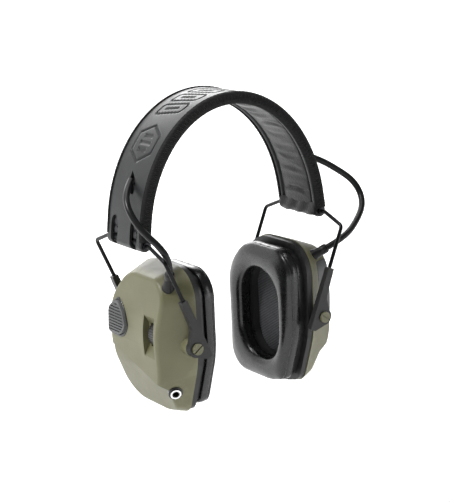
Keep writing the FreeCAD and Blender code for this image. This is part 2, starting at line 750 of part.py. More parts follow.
def make_circuit_board():
    board = box((52.6, -8.0, -20.0), (54.2, 13.0, 28.0))
    chips = [
        box((51.0, -4, -6), (52.6, 6, 4)),
        box((51.4, 2, 10), (52.6, 9, 16)),
        box((50.8, -5, 18), (52.6, 0, 23)),
        box((51.2, -3, -19), (52.6, 7, -12)),
    ]
    return board.multiFuse(chips).removeSplitter()


# ---- Battery door --------------------------------------------------------------------------


def door_zone(gap):
    """The stretch of the right cup's skin that the door takes the place of."""
    outline = [
        Vector(80, -80, HINGE_Z + 1.0 + gap),
        Vector(60.0, -80, HINGE_Z + 1.0 + gap),
        Vector(50.6 + gap, -80, 15.0),
        Vector(48.4 + gap, -80, DOOR_TOP_Z - gap),
        Vector(80, -80, DOOR_TOP_Z - gap),
    ]
    radii = [0.5, 3.0, 8.0, 2.0, 0.5]
    return prism(rounded_loop(outline, radii), Y_AXIS * (80 + DOOR_FRONT_Y - gap))


def hinge_rod(radius, low_y, high_y):
    return rod(Vector(HINGE_X, low_y, HINGE_Z), Vector(HINGE_X, high_y, HINGE_Z), radius)


def make_door(outer):
    skin = outer.cut(cup_body(DOOR_WALL, 0))
    door = skin.common(door_zone(DOOR_GAP))
    door = door.cut(hinge_rod(KNUCKLE_RADIUS + 0.4, *SHELL_KNUCKLE_SPAN))
    for low_y, high_y in KNUCKLE_SPANS:
        door = door.fuse(hinge_rod(KNUCKLE_RADIUS, low_y, high_y))
    for low_y, high_y in KNUCKLE_SPANS:
        web = box((HINGE_X - 1.6, low_y, HINGE_Z), (HINGE_X + 0.4, high_y, HINGE_Z + 3))
        door = door.fuse(web)
    return door.cut(hinge_rod(HINGE_PIN_RADIUS + RUNNING_GAP, -30, 30)).removeSplitter()


def make_right_shell(blank, outer):
    shell = blank.cut(door_zone(0))
    for low_y, high_y in KNUCKLE_SPANS:
        shell = shell.cut(hinge_rod(KNUCKLE_RADIUS + 0.5, low_y - 0.4, high_y + 0.4))
    low_y, high_y = SHELL_KNUCKLE_SPAN
    bracket = box((HINGE_X - 3.5, low_y, HINGE_Z - 3.0), (HINGE_X, high_y, HINGE_Z))
    shell = shell.fuse(hinge_rod(KNUCKLE_RADIUS, low_y, high_y)).fuse(bracket.common(outer))
    return shell.cut(hinge_rod(HINGE_PIN_RADIUS, -30, 30)).removeSplitter()


def make_battery_tray():
    """An open box that holds the two cells against the contacts."""
    low_z = CELL_BOTTOM_Z - 1.6
    high_z = CELL_BOTTOM_Z + CELL_LENGTH + 1.6
    floor_x = CELL_X - CELL_RADIUS - 0.4
    tray = box((floor_x, CELLS_CENTRE_Y - 11.7, low_z), (55.5, CELLS_CENTRE_Y + 11.7, high_z))
    inner_low = (floor_x + 0.45, CELLS_CENTRE_Y - 10.9, low_z + 1.0)
    hollow = box(inner_low, (60, CELLS_CENTRE_Y + 10.9, high_z - 1.0))
    return tray.cut(hollow)


def make_cells():
    cells = []
    for y in (CELLS_CENTRE_Y - CELL_Y, CELLS_CENTRE_Y + CELL_Y):
        start = Vector(CELL_X, y, CELL_BOTTOM_Z)
        can = rod(start, start + Z_AXIS * (CELL_LENGTH - 1), CELL_RADIUS - 0.05)
        nub = rod(start, start + Z_AXIS * CELL_LENGTH, 1.9)
        cells.append(can.fuse(nub).removeSplitter())
    return Part.Compound(cells)


def make_contacts():
    plates = []
    for z in (CELL_BOTTOM_Z - 0.55, CELL_BOTTOM_Z + CELL_LENGTH + 0.05):
        for y in (CELLS_CENTRE_Y - CELL_Y, CELLS_CENTRE_Y + CELL_Y):
            plates.append(box((50.5, y - 4, z), (57.5, y + 4, z + 0.5)))
    return Part.Compound(plates)


# ---- Cables --------------------------------------------------------------------------------

CABLE_ROUTE = {
    "left": [
        Vector(-60.6, -1.0, 96.9),
        Vector(-68.4, -7.5, 92.2),
        Vector(-72.3, -15.0, 85.0),
        Vector(-71.4, -21.8, 76.6),
        Vector(-68.4, -28.0, 69.8),
        Vector(-63.8, -33.8, 63.4),
        Vector(-59.1, -36.2, 55.0),
        BOOT_TIP["left"],
    ],
    "right": [
        Vector(60.6, -1.0, 96.9),
        Vector(73.0, -6.0, 91.6),
        Vector(84.5, -12.0, 83.4),
        Vector(92.4, -17.0, 76.1),
        Vector(94.7, -22.0, 67.8),
        Vector(91.2, -27.5, 60.6),
        Vector(81.2, -33.0, 53.2),
        Vector(68.0, -37.5, 46.2),
        BOOT_TIP["right"],
    ],
}


def make_cable(side):
    """Straight runs joined by tangent arcs, each as large as its two runs allow."""
    route = CABLE_ROUTE[side]
    edges = []
    start = route[0]
    radii = []
    for i in range(1, len(route) - 1):
        back = route[i - 1] - route[i]
        ahead = route[i + 1] - route[i]
        half_turn = (math.pi - back.getAngle(ahead)) / 2
        reach = 0.45 * min(back.Length, ahead.Length)
        radius = reach / math.tan(half_turn)
        radii.append(round(radius, 1))
        back.normalize()
        ahead.normalize()
        sagitta = radius / math.cos(half_turn) - radius
        middle = route[i] + (back + ahead).normalize() * sagitta
        edges.append(Part.makeLine(start, route[i] + back * reach))
        edges.append(Part.Arc(route[i] + back * reach, middle, route[i] + ahead * reach).toShape())
        start = route[i] + ahead * reach
    edges.append(Part.makeLine(start, route[-1]))
    path = Part.Wire(edges)
    profile = Part.Wire(Part.makeCircle(CABLE_RADIUS, route[0], route[1] - route[0]))
    tube = path.makePipeShell([profile], True, True)
    expected = math.pi * CABLE_RADIUS ** 2 * path.Length
    print(side, "cable length", round(path.Length, 1), "radii", radii)
    print(side, "cable volume over section times length", round(tube.Volume / expected, 4))
    return tube


# ---- Assembly ------------------------------------------------------------------------------

shell_blank, cup_outer = make_shell_blank()
rear_arm = make_arm()
front_arm = rear_arm.mirror(ORIGIN, Y_AXIS)
microphone_cover = make_microphone_cover()
mic_seat = cup_body(-2, 0).cut(cup_body(1.2, RIDGE_RADIUS - 1.2)).common(microphone_column(0.15))

both_sides = {
    "headband_cover": make_cover(),
    "headband_spring": make_spring(),
    "headband_pad": make_pad(),
    "headband_binding": make_binding(),
    "end_fitting": make_end_fitting(),
    "end_rivets": make_rivets(),
    "wire_stirrup": make_stirrup(),
    "rear_arm": rear_arm,
    "front_arm": front_arm,
    "pivot_pins": make_pivot_pins(),
    "base_plate": make_base_plate(),
    "shell_screws": make_shell_screws(),
    "cushion_backing": make_cushion_backing(),
    "ear_cushion": make_cushion(),
    "mesh_liner": make_mesh_liner(),
    "foam_liner": make_foam_liner(),
    "speaker": make_speaker(),
    "microphone": make_microphone(),
    "microphone_cover": microphone_cover,
}

shells = {
    "left": make_left_shell(shell_blank, cup_outer),
    "right": make_right_shell(shell_blank, cup_outer),
}

for side in ("left", "right"):
    for name, shape in both_sides.items():
        write(side + "_" + name, mirrored(shape, side))
    boot = make_boot(side)
    shell = shells[side].cut(mic_seat)
    shell = mirrored(shell, side).cut(boot)
    write(side + "_outer_shell", shell)
    write(side + "_cable_boot", boot.cut(mirrored(cup_body(WALL + 1.9), side)))
    write(side + "_cable", make_cable(side).cut(boot))

write("volume_wheel", mirrored(make_wheel(), "left"))
write("volume_potentiometer", mirrored(make_potentiometer(), "left"))
write("circuit_board", mirrored(make_circuit_board(), "left"))
write("audio_jack", mirrored(make_jack(), "left"))
write("audio_jack_ring", mirrored(make_jack_ring(), "left"))
write("battery_door", make_door(cup_outer))
write("battery_door_pin", hinge_rod(HINGE_PIN_RADIUS, -20.8, 3.8))
write("battery_tray", make_battery_tray())
write("battery_cells", make_cells())
write("battery_contacts", make_contacts())
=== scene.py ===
import math
import random

import bmesh
import bpy
import numpy as np
from mathutils import Matrix, Vector
from mathutils.bvhtree import BVHTree


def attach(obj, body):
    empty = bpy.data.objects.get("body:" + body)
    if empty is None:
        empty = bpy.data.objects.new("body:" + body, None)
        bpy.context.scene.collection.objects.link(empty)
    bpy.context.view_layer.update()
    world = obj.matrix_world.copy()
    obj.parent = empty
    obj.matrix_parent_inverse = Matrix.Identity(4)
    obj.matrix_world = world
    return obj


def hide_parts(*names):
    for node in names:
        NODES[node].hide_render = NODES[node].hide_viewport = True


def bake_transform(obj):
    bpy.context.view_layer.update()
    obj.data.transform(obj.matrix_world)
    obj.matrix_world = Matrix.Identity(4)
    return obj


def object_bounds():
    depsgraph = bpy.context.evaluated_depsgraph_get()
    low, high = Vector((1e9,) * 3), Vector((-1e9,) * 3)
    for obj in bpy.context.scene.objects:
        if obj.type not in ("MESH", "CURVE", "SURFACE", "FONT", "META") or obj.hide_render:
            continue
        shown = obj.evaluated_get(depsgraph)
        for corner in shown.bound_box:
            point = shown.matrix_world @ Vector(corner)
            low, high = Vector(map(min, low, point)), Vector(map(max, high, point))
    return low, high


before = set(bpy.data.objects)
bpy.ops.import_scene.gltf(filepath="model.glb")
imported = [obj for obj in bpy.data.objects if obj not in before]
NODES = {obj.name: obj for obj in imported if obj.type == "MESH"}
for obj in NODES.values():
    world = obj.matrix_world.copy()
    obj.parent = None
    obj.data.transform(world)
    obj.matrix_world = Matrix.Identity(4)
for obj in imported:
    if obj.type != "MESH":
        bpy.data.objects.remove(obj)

CAD_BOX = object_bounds()
MM = 0.001

# Band, in millimetres; the same curve as the frame's headband.
ARCH_HALF_SPAN = 67.2
ARCH_CENTRE_Z = 61.0
ARCH_RISE = 82.3
LEG_START_Z = 74.0
BAR = (64.2, 61.0)
ROLL_RADIUS = 4.0
COVER_HALF = 19.3
BAND_HALF = 20.5
SPRING_HALF = 17.0


# ---- Meshes ---------------------------------------------------------------------------------


def add_mesh(name, verts, faces, finish=None, sharp_deg=40):
    """A new object from points in millimetres, smooth except over sharp edges."""
    mesh = bpy.data.meshes.new(name)
    mesh.from_pydata([tuple(float(c) * MM for c in v) for v in verts], [], faces)
    mesh.validate()
    obj = bpy.data.objects.new(name, mesh)
    bpy.context.scene.collection.objects.link(obj)
    if finish is not None:
        mesh.materials.append(finish)
    tidy_mesh(obj, sharp_deg)
    return obj


def tidy_mesh(obj, sharp_deg):
    """Outward normals, smooth shading, and sharp edges where faces meet steeply."""
    bm = bmesh.new()
    bm.from_mesh(obj.data)
    bmesh.ops.recalc_face_normals(bm, faces=bm.faces)
    for face in bm.faces:
        face.smooth = True
    limit = math.radians(sharp_deg)
    for edge in bm.edges:
        if len(edge.link_faces) == 2:
            edge.smooth = edge.calc_face_angle(0) < limit
    bm.to_mesh(obj.data)
    bm.free()


def strip_faces(rows, columns, close_rows=False, close_columns=False):
    """Quads of a grid of points stored row by row."""
    faces = []
    for i in range(rows if close_rows else rows - 1):
        for j in range(columns if close_columns else columns - 1):
            a = i * columns + j
            b = i * columns + (j + 1) % columns
            c = ((i + 1) % rows) * columns + (j + 1) % columns
            d = ((i + 1) % rows) * columns + j
            faces.append((a, b, c, d))
    return faces


def capped_sweep(name, rings, finish, sharp_deg=40):
    """A closed tube through rings that all have the same number of points."""
    count = len(rings[0])
    verts = [p for ring in rings for p in ring]
    faces = strip_faces(len(rings), count, close_columns=True)
    faces.append(tuple(range(count)))
    last = (len(rings) - 1) * count
    faces.append(tuple(last + i for i in reversed(range(count))))
    return add_mesh(name, verts, faces, finish, sharp_deg)


def tube_rings(points, radii, sides):
    """Rings round a line of points, carried along it without twist."""
    pts = [Vector(p) for p in points]
    count = len(pts)
    ways = []
    for i in range(count):
        ahead, back = pts[min(i + 1, count - 1)], pts[max(i - 1, 0)]
        ways.append((ahead - back).normalized())
    side = ways[0].orthogonal().normalized()
    rings = []
    for i in range(count):
        side = (side - ways[i] * side.dot(ways[i])).normalized()
        other = ways[i].cross(side)
        radius = radii[i] if hasattr(radii, "__len__") else radii
        ring = []
        for k in range(sides):
            angle = 2 * math.pi * k / sides
            ring.append(pts[i] + (side * math.cos(angle) + other * math.sin(angle)) * radius)
        rings.append(ring)
    return rings


def join(name, objects):
    """One object from several, keeping the first one's material."""
    bm = bmesh.new()
    for obj in objects:
        bm.from_mesh(obj.data)
    mesh = bpy.data.meshes.new(name)
    bm.to_mesh(mesh)
    bm.free()
    mesh.materials.append(objects[0].data.materials[0])
    joined = bpy.data.objects.new(name, mesh)
    bpy.context.scene.collection.objects.link(joined)
    for obj in objects:
        bpy.data.objects.remove(obj)
    return joined


def evaluated_copy(obj):
    """The object's mesh with its modifiers applied, in place of them."""
    graph = bpy.context.evaluated_depsgraph_get()
    mesh = bpy.data.meshes.new_from_object(obj.evaluated_get(graph))
    obj.modifiers.clear()
    obj.data = mesh
    return obj


def cut(obj, cutters, sharp_deg):
    """Takes the cutters out of the object, then removes them."""
    for cutter in cutters:
        modifier = obj.modifiers.new("cut", "BOOLEAN")
        modifier.operation = "DIFFERENCE"
        modifier.solver = "EXACT"
        modifier.object = cutter
    evaluated_copy(obj)
    for cutter in cutters:
        bpy.data.objects.remove(cutter)
    tidy_mesh(obj, sharp_deg)


# ---- Materials ------------------------------------------------------------------------------


class Finish:
    """A Principled material whose colour, roughness and bump come from nodes."""

    def __init__(self, name, color, roughness, metallic=0.0, **sockets):
        self.material = bpy.data.materials.new(name)
        self.material.use_nodes = True
        self.tree = self.material.node_tree
        self.shader = self.tree.nodes["Principled BSDF"]
        self.shader.inputs["Base Color"].default_value = (*color, 1)
        self.shader.inputs["Roughness"].default_value = roughness
        self.shader.inputs["Metallic"].default_value = metallic
        for key, value in sockets.items():
            self.shader.inputs[key.replace("_", " ")].default_value = value
        self.color = color
        self.roughness = roughness
        self.coords = self.node("ShaderNodeTexCoord").outputs["Object"]
        self.normal = None

    def node(self, kind, **values):
        node = self.tree.nodes.new(kind)
        for key, value in values.items():
            setattr(node, key, value)
        return node

    def link(self, output, socket):
        self.tree.links.new(output, socket)

    def stretched(self, scale):
        mapping = self.node("ShaderNodeMapping")
        mapping.inputs["Scale"].default_value = scale
        self.link(self.coords, mapping.inputs["Vector"])
        return mapping.outputs["Vector"]

    def noise(self, scale, detail=3.0, rough=0.55, vector=None):
        node = self.node("ShaderNodeTexNoise")
        node.inputs["Scale"].default_value = scale
        node.inputs["Detail"].default_value = detail
        node.inputs["Roughness"].default_value = rough
        self.link(vector or self.coords, node.inputs["Vector"])
        return node.outputs["Fac"]

    def cells(self, scale):
        node = self.node("ShaderNodeTexVoronoi", feature="DISTANCE_TO_EDGE")
        node.inputs["Scale"].default_value = scale
        self.link(self.coords, node.inputs["Vector"])
        return node.outputs["Distance"]

    def wave(self, scale, direction):
        node = self.node("ShaderNodeTexWave", bands_direction=direction)
        node.inputs["Scale"].default_value = scale
        self.link(self.coords, node.inputs["Vector"])
        return node.outputs["Fac"]

    def maths(self, operation, a, b):
        node = self.node("ShaderNodeMath", operation=operation)
        for socket, value in zip(node.inputs, (a, b)):
            if isinstance(value, (int, float)):
                socket.default_value = value
            else:
                self.link(value, socket)
        return node.outputs[0]

    def ranged(self, value, low, high, from_low=0.3, from_high=0.7):
        node = self.node("ShaderNodeMapRange")
        self.link(value, node.inputs["Value"])
        node.inputs["From Min"].default_value = from_low
        node.inputs["From Max"].default_value = from_high
        node.inputs["To Min"].default_value = low
        node.inputs["To Max"].default_value = high
        return node.outputs["Result"]

    def vary_color(self, fac, other, low=0.0, high=1.0, from_low=0.3, from_high=0.7):
        node = self.node("ShaderNodeMix", data_type="RGBA")
        colors = [s for s in node.inputs if s.type == "RGBA"]
        base = self.shader.inputs["Base Color"]
        if base.is_linked:
            self.link(base.links[0].from_socket, colors[0])
        else:
            colors[0].default_value = (*self.color, 1)
        colors[1].default_value = (*other, 1)
        self.link(self.ranged(fac, low, high, from_low, from_high), node.inputs["Factor"])
        self.link([s for s in node.outputs if s.type == "RGBA"][0], base)

    def vary_roughness(self, fac, spread):
        result = self.ranged(fac, self.roughness - spread, self.roughness + spread)
        self.link(result, self.shader.inputs["Roughness"])

    def bump(self, height, distance_mm, strength=1.0):
        node = self.node("ShaderNodeBump")
        node.inputs["Strength"].default_value = strength
        node.inputs["Distance"].default_value = distance_mm * MM
        self.link(height, node.inputs["Height"])
        if self.normal is not None:
            self.link(self.normal, node.inputs["Normal"])
        self.normal = node.outputs["Normal"]
        self.link(self.normal, self.shader.inputs["Normal"])


EDGE_STARTS, EDGE_FULL = 0.52, 0.62  # pointiness, where 0.5 is flat
EDGE_WEAR = 0.5


def worn_edges(finish, paler):
    """Convex edges rubbed a little paler."""
    point = finish.node("ShaderNodeNewGeometry").outputs["Pointiness"]
    finish.vary_color(point, paler, 0.0, EDGE_WEAR, EDGE_STARTS, EDGE_FULL)


def moulded(name, color, roughness, grain_mm=0.05, spread=0.05, paler=None, **sockets):
    """Moulded plastic: fine spark-eroded grain, faint flow marks and handling sheen."""
    finish = Finish(name, color, roughness, **sockets)
    darker = tuple(c * 0.86 for c in color)
    finish.vary_color(finish.noise(38, 4), darker)
    if paler is not None:
        worn_edges(finish, paler)
    finish.vary_roughness(finish.noise(65, 5), spread)
    finish.bump(finish.noise(1900, 2, 0.6), grain_mm)
    finish.bump(finish.noise(30, 2, 0.5), 0.12, 0.35)
    return finish.material


def leather(name, color, roughness, grain_scale, grain_mm, slack_mm=0.2, **sockets):
    """Coated leatherette: pebble grain in cells with fine creases between them."""
    finish = Finish(name, color, roughness, **sockets)
    finish.vary_color(finish.noise(55, 4), tuple(c * 1.5 for c in color))
    finish.vary_roughness(finish.noise(120, 4), 0.05)
    cells = finish.cells(grain_scale)
    finish.bump(finish.ranged(cells, 0, 1, 0.0, 0.22), grain_mm)
    finish.bump(finish.noise(grain_scale * 2.3, 3), grain_mm * 0.5)
    finish.bump(finish.noise(90, 3), slack_mm, 0.4)
    return finish.material


def woven(name, color, roughness, thread_scale, height_mm, lighter=1.9):
    """Plain weave from two crossing sets of threads."""
    finish = Finish(
        name, color, roughness,
        Specular_IOR_Level=0.25, Sheen_Weight=0.06, Sheen_Roughness=0.45,
    )
    warp = finish.wave(thread_scale, "Y")
    weft = finish.wave(thread_scale, "Z")
    threads = finish.maths("MULTIPLY", warp, weft)
    finish.vary_color(threads, tuple(c * lighter for c in color), 0.0, 1.0, 0.1, 0.8)
    finish.vary_roughness(finish.noise(300, 3), 0.06)
    finish.bump(threads, height_mm)
    finish.bump(finish.noise(2600, 2), height_mm * 0.3)
    return finish.material


def metal(name, color, roughness, brushed=0.03):
    """Metal with faint stains and streaks; brushed is their depth in millimetres."""
    finish = Finish(name, color, roughness, 1.0)
    finish.vary_color(finish.noise(90, 4), tuple(c * 0.75 for c in color))
    streaks = finish.noise(420, 3, 0.6, finish.stretched((1, 0.12, 1)))
    finish.vary_roughness(streaks, 0.06)
    finish.bump(streaks, brushed)
    return finish.material


def circuit():
    """Solder mask with a pattern of tracks."""
    finish = Finish("circuit", (0.02, 0.13, 0.05), 0.35)
    tracks = finish.cells(240)
    finish.vary_color(tracks, (0.05, 0.24, 0.1), 0.0, 1.0, 0.02, 0.06)
    finish.vary_roughness(finish.noise(200, 2), 0.05)
    finish.bump(finish.ranged(tracks, 0, 1, 0.02, 0.06), 0.04)
    return finish.material


SOFT = {"Specular_IOR_Level": 0.26}
OLIVE = moulded("olive", (0.122, 0.119, 0.060), 0.46, 0.035, paler=(0.20, 0.20, 0.12))
OLIVE_PIN = moulded("olive_pin", (0.135, 0.132, 0.072), 0.45, 0.03)
BLACK = moulded("black_plastic", (0.006, 0.006, 0.0065), 0.30, 0.03, paler=(0.02, 0.02, 0.02))
ARM = moulded("arm_plastic", (0.012, 0.012, 0.0125), 0.36, 0.035, paler=(0.04, 0.04, 0.04), **SOFT)
GREY = moulded("grey_plastic", (0.062, 0.064, 0.065), 0.38, 0.04, paler=(0.12, 0.12, 0.12), **SOFT)
RIM = moulded("rim_plastic", (0.014, 0.014, 0.0145), 0.40, 0.02, paler=(0.05, 0.05, 0.05), **SOFT)
COVER = moulded(
    "band_cover", (0.020, 0.021, 0.0215), 0.36, 0.05, 0.06, paler=(0.05, 0.05, 0.05), **SOFT
)
RUBBER = moulded("cable_rubber", (0.006, 0.006, 0.0065), 0.36, 0.03, **SOFT)
CUSHION = leather("cushion_skin", (0.004, 0.004, 0.0043), 0.27, 900, 0.003, 0.012)
PAD = leather("pad_leatherette", (0.005, 0.005, 0.0055), 0.34, 520, 0.06, **SOFT)
BINDING = woven("edge_binding", (0.004, 0.004, 0.004), 0.75, 210, 0.1)
THREAD = woven("stitch_thread", (0.009, 0.009, 0.009), 0.6, 900, 0.04)
MESH_CLOTH = woven("mesh_cloth", (0.03, 0.031, 0.033), 0.6, 290, 0.3, 7.0)
FOAM = leather("foam", (0.03, 0.03, 0.03), 0.9, 600, 0.3)
STEEL = metal("steel", (0.62, 0.62, 0.63), 0.28)
DARK_STEEL = metal("spring_steel", (0.05, 0.05, 0.055), 0.42)
WIRE = metal("wire_coating", (0.018, 0.018, 0.019), 0.34, 0.01)
CHROME = metal("chrome", (0.86, 0.86, 0.88), 0.09, 0.003)
BRASS = metal("brass", (0.72, 0.52, 0.22), 0.3)
CELL = metal("cell_wrap", (0.28, 0.28, 0.3), 0.32, 0.005)
CIRCUIT = circuit()

CAD_FINISHES = {
    "end_fitting": DARK_STEEL,
    "end_rivets": DARK_STEEL,
    "wire_stirrup": WIRE,
    "rear_arm": ARM,
    "front_arm": ARM,
    "pivot_pins": OLIVE_PIN,
    "base_plate": RIM,
    "shell_screws": STEEL,
    "cushion_backing": BLACK,
    "mesh_liner": MESH_CLOTH,
    "foam_liner": FOAM,
    "speaker": BLACK,
    "microphone": STEEL,
    "microphone_cover": GREY,
    "outer_shell": OLIVE,
    "volume_wheel": BLACK,
    "volume_potentiometer": BLACK,
    "circuit_board": CIRCUIT,
    "audio_jack": BLACK,
    "audio_jack_ring": CHROME,
    "battery_door": GREY,
    "battery_door_pin": STEEL,
    "battery_tray": BLACK,
    "battery_cells": CELL,
    "battery_contacts": BRASS,
}


def finish_cad_nodes():
    for name, node in NODES.items():
        finish = CAD_FINISHES.get(name.replace("left_", "").replace("right_", ""))
        if finish is not None:
            node.data.materials.clear()
            node.data.materials.append(finish)


# ---- Camera, lights and floor ---------------------------------------------------------------


CAMERA_ANGLES = (-33.4, 14.1, -2.9)  # turn, tilt and roll, in degrees
CAMERA_AIM = Vector((0.0035, 0, 0.0421))
CAMERA_DISTANCE = 0.8964
CAMERA_LENS_MM = 103.6
WORLD_STRENGTH = 0.16
# Name, place, aim, size in metres and power in watts.
LIGHTS = [
    ("key", (-1.05, 0.1, 1.35), (0, 0, 0.02), (0.4, 0.5), 27),
    ("top", (0.1, 0.2, 1.3), (0, 0, 0.05), (0.9, 0.6), 8),
    ("strip", (0.62, -1.0, 0.12), (0.03, 0, 0.0), (0.12, 0.7), 1.8),
    ("rear", (0.35, 1.2, 0.6), (0, 0, 0.06), (0.9, 0.5), 8),
]


def place_camera():
    turn, tilt, roll = (math.radians(a) for a in CAMERA_ANGLES)
    back = Vector((
        math.sin(turn) * math.cos(tilt),
        -math.cos(turn) * math.cos(tilt),
        math.sin(tilt),
    ))
    level_right = Vector((math.cos(turn), math.sin(turn), 0))
    level_up = level_right.cross(-back)
    right = level_right * math.cos(roll) + level_up * math.sin(roll)
    up = level_up * math.cos(roll) - level_right * math.sin(roll)
    data = bpy.data.cameras.new("camera")
    data.lens = CAMERA_LENS_MM
    camera = bpy.data.objects.new("camera", data)
    bpy.context.scene.collection.objects.link(camera)
    place = CAMERA_AIM + back * CAMERA_DISTANCE
    camera.matrix_world = Matrix((
        (right.x, up.x, back.x, place.x),
        (right.y, up.y, back.y, place.y),
        (right.z, up.z, back.z, place.z),
        (0, 0, 0, 1),
    ))
    bpy.context.scene.camera = camera


def add_light(name, place, aim, size, power):
    data = bpy.data.lights.new(name, "AREA")
    data.shape = "RECTANGLE"
    data.size, data.size_y = size
    data.energy = power
    light = bpy.data.objects.new(name, data)
    bpy.context.scene.collection.objects.link(light)
    light.location = place
    light.rotation_mode = "QUATERNION"
    light.rotation_quaternion = (Vector(aim) - Vector(place)).to_track_quat("-Z", "Y")


def light_studio():
    world = bpy.data.worlds.new("studio")
    bpy.context.scene.world = world
    world.use_nodes = True
    background = world.node_tree.nodes["Background"]
    background.inputs["Color"].default_value = (1.0, 1.0, 1.0, 1)
    background.inputs["Strength"].default_value = WORLD_STRENGTH
    bpy.context.scene.view_settings.view_transform = "Standard"
    for light in LIGHTS:
        add_light(*light)


CUP_TRAVEL = 22.0
FLOOR_CLEARANCE = 100.0
FLOOR_ACROSS = (-9000, -3000, 3000, 9000)
FLAT_START_Y, FLAT_END_Y = -6000, 3000
FLAT_STEPS, SWEEP_STEPS = 4, 20
SWEEP_RADIUS = 2500
BACKDROP_TOP = 6000
# The floor's glow is painted light: it grows from near the object, in metres, so that the far
# ground is white.
GLOW_NEAR, GLOW_FAR = 0.12, 1.6
GLOW_LEAST, GLOW_MOST = 0.15, 1.0


def lay_floor():
    """A white floor, clear of the cups at their lowest, that sweeps up into a backdrop behind."""
    level = CAD_BOX[0].z / MM - CUP_TRAVEL - FLOOR_CLEARANCE
    rows = []
    for i in range(FLAT_STEPS + 1):
        rows.append((FLAT_START_Y + i * (FLAT_END_Y - FLAT_START_Y) / FLAT_STEPS, level))
    for i in range(1, SWEEP_STEPS + 1):
        angle = math.pi / 2 * i / SWEEP_STEPS
        rows.append((
            FLAT_END_Y + SWEEP_RADIUS * math.sin(angle),
            level + SWEEP_RADIUS * (1 - math.cos(angle)),
        ))
    rows.append((FLAT_END_Y + SWEEP_RADIUS, BACKDROP_TOP))
    verts = [(x, y, z) for y, z in rows for x in FLOOR_ACROSS]
    finish = Finish("floor", (0.9, 0.9, 0.9), 0.9)
    finish.vary_color(finish.noise(0.6, 2), (0.92, 0.92, 0.92))
    distance = finish.node("ShaderNodeVectorMath", operation="LENGTH")
    finish.link(finish.coords, distance.inputs[0])
    glow = finish.ranged(distance.outputs["Value"], GLOW_LEAST, GLOW_MOST, GLOW_NEAR, GLOW_FAR)
    finish.shader.inputs["Emission Color"].default_value = (1, 1, 1, 1)
    finish.link(glow, finish.shader.inputs["Emission Strength"])
    floor = add_mesh("floor", verts, strip_faces(len(rows), len(FLOOR_ACROSS)), finish.material)


# ---- Cables ---------------------------------------------------------------------------------

CABLE_RADIUS = 2.0
CABLE_SIDES = 20
BOOT_ROOT = {"left": Vector((-55.1, -26.8, 35.8)), "right": Vector((50.5, -28.5, 36.5))}
BOOT_TIP = {"left": Vector((-56.9, -32.4, 45.7)), "right": Vector((57.6, -32.2, 40.5))}
CABLE_ROUTE = {
    "left": [
        (-0.0606, -0.0010, 0.0969),
        (-0.0684, -0.0075, 0.0922),
        (-0.0723, -0.0150, 0.0850),
        (-0.0714, -0.0218, 0.0766),
        (-0.0684, -0.0280, 0.0698),
        (-0.0638, -0.0338, 0.0634),
        (-0.0591, -0.0362, 0.0550),
        (-0.0569, -0.0324, 0.0457),
    ],
    "right": [
        (0.0606, -0.0010, 0.0969),
        (0.0730, -0.0060, 0.0916),
        (0.0845, -0.0120, 0.0834),
        (0.0924, -0.0170, 0.0761),
        (0.0947, -0.0220, 0.0678),
        (0.0912, -0.0275, 0.0606),
        (0.0812, -0.0330, 0.0532),
        (0.0680, -0.0375, 0.0462),
        (0.0576, -0.0322, 0.0405),
    ],
}


def route_points(route):
    """Points along the NURBS spline that has the route as its control points, in millimetres."""
    curve = bpy.data.curves.new("route", "CURVE")
    curve.dimensions = "3D"
    curve.resolution_u = 16
    spline = curve.splines.new("NURBS")
    spline.points.add(len(route) - 1)
    for point, place in zip(spline.points, route):
        point.co = (*place, 1)
    spline.order_u = 3
    spline.use_endpoint_u = True
    obj = bpy.data.objects.new("route", curve)
    bpy.context.scene.collection.objects.link(obj)
    bpy.context.view_layer.update()
    mesh = bpy.data.meshes.new_from_object(obj)
    points = [v.co / MM for v in mesh.vertices]
    bpy.data.objects.remove(obj)
    return points


def make_cable(side):
    """Two lengths of one cable: band to stirrup, then stirrup to arms."""
    points = route_points(CABLE_ROUTE[side])
    half = len(points) // 2
    rings = tube_rings(points, CABLE_RADIUS, CABLE_SIDES)
    stirrup = side + "_stirrup"
    for part, first, last, bodies in (
        ("upper", 0, half, ("headband_" + side, stirrup)),
        ("lower", half, len(points) - 1, (stirrup, side + "_arms")),
    ):
        name = side + "_cable_" + part
        piece = capped_sweep(name, rings[first:last + 1], RUBBER)
        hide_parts(side + "_cable")
        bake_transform(piece)


def make_boot(side):
    """A moulded strain relief, from the shell out to a collar round the cable."""
    root, tip = BOOT_ROOT[side], BOOT_TIP[side]
    way = (tip - root).normalized()
    length = (tip - root).length
    # Each step: distance out from the shell, then radius.
    profile = [
        (-2.5, 3.5), (-0.6, 3.9), (0.9, 3.7), (1.6, 3.3), (length - 4.4, 2.95),
        (length - 4.0, 2.8), (length - 3.6, 3.05), (length - 0.4, 3.0), (length + 0.3, 2.75),
        (length + 0.7, 2.1),
    ]
    points = [root + way * along for along, _ in profile]
    rings = tube_rings(points, [radius for _, radius in profile], 28)
    boot = capped_sweep(side + "_strain_relief", rings, RUBBER, 60)
    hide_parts(side + "_cable_boot")
    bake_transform(boot)


# ---- Headband -------------------------------------------------------------------------------


ARCH_STEPS = 400
LEG_STEPS = 40
ROLL_STEPS = 60
ROLL_SWEEP = math.radians(-125)


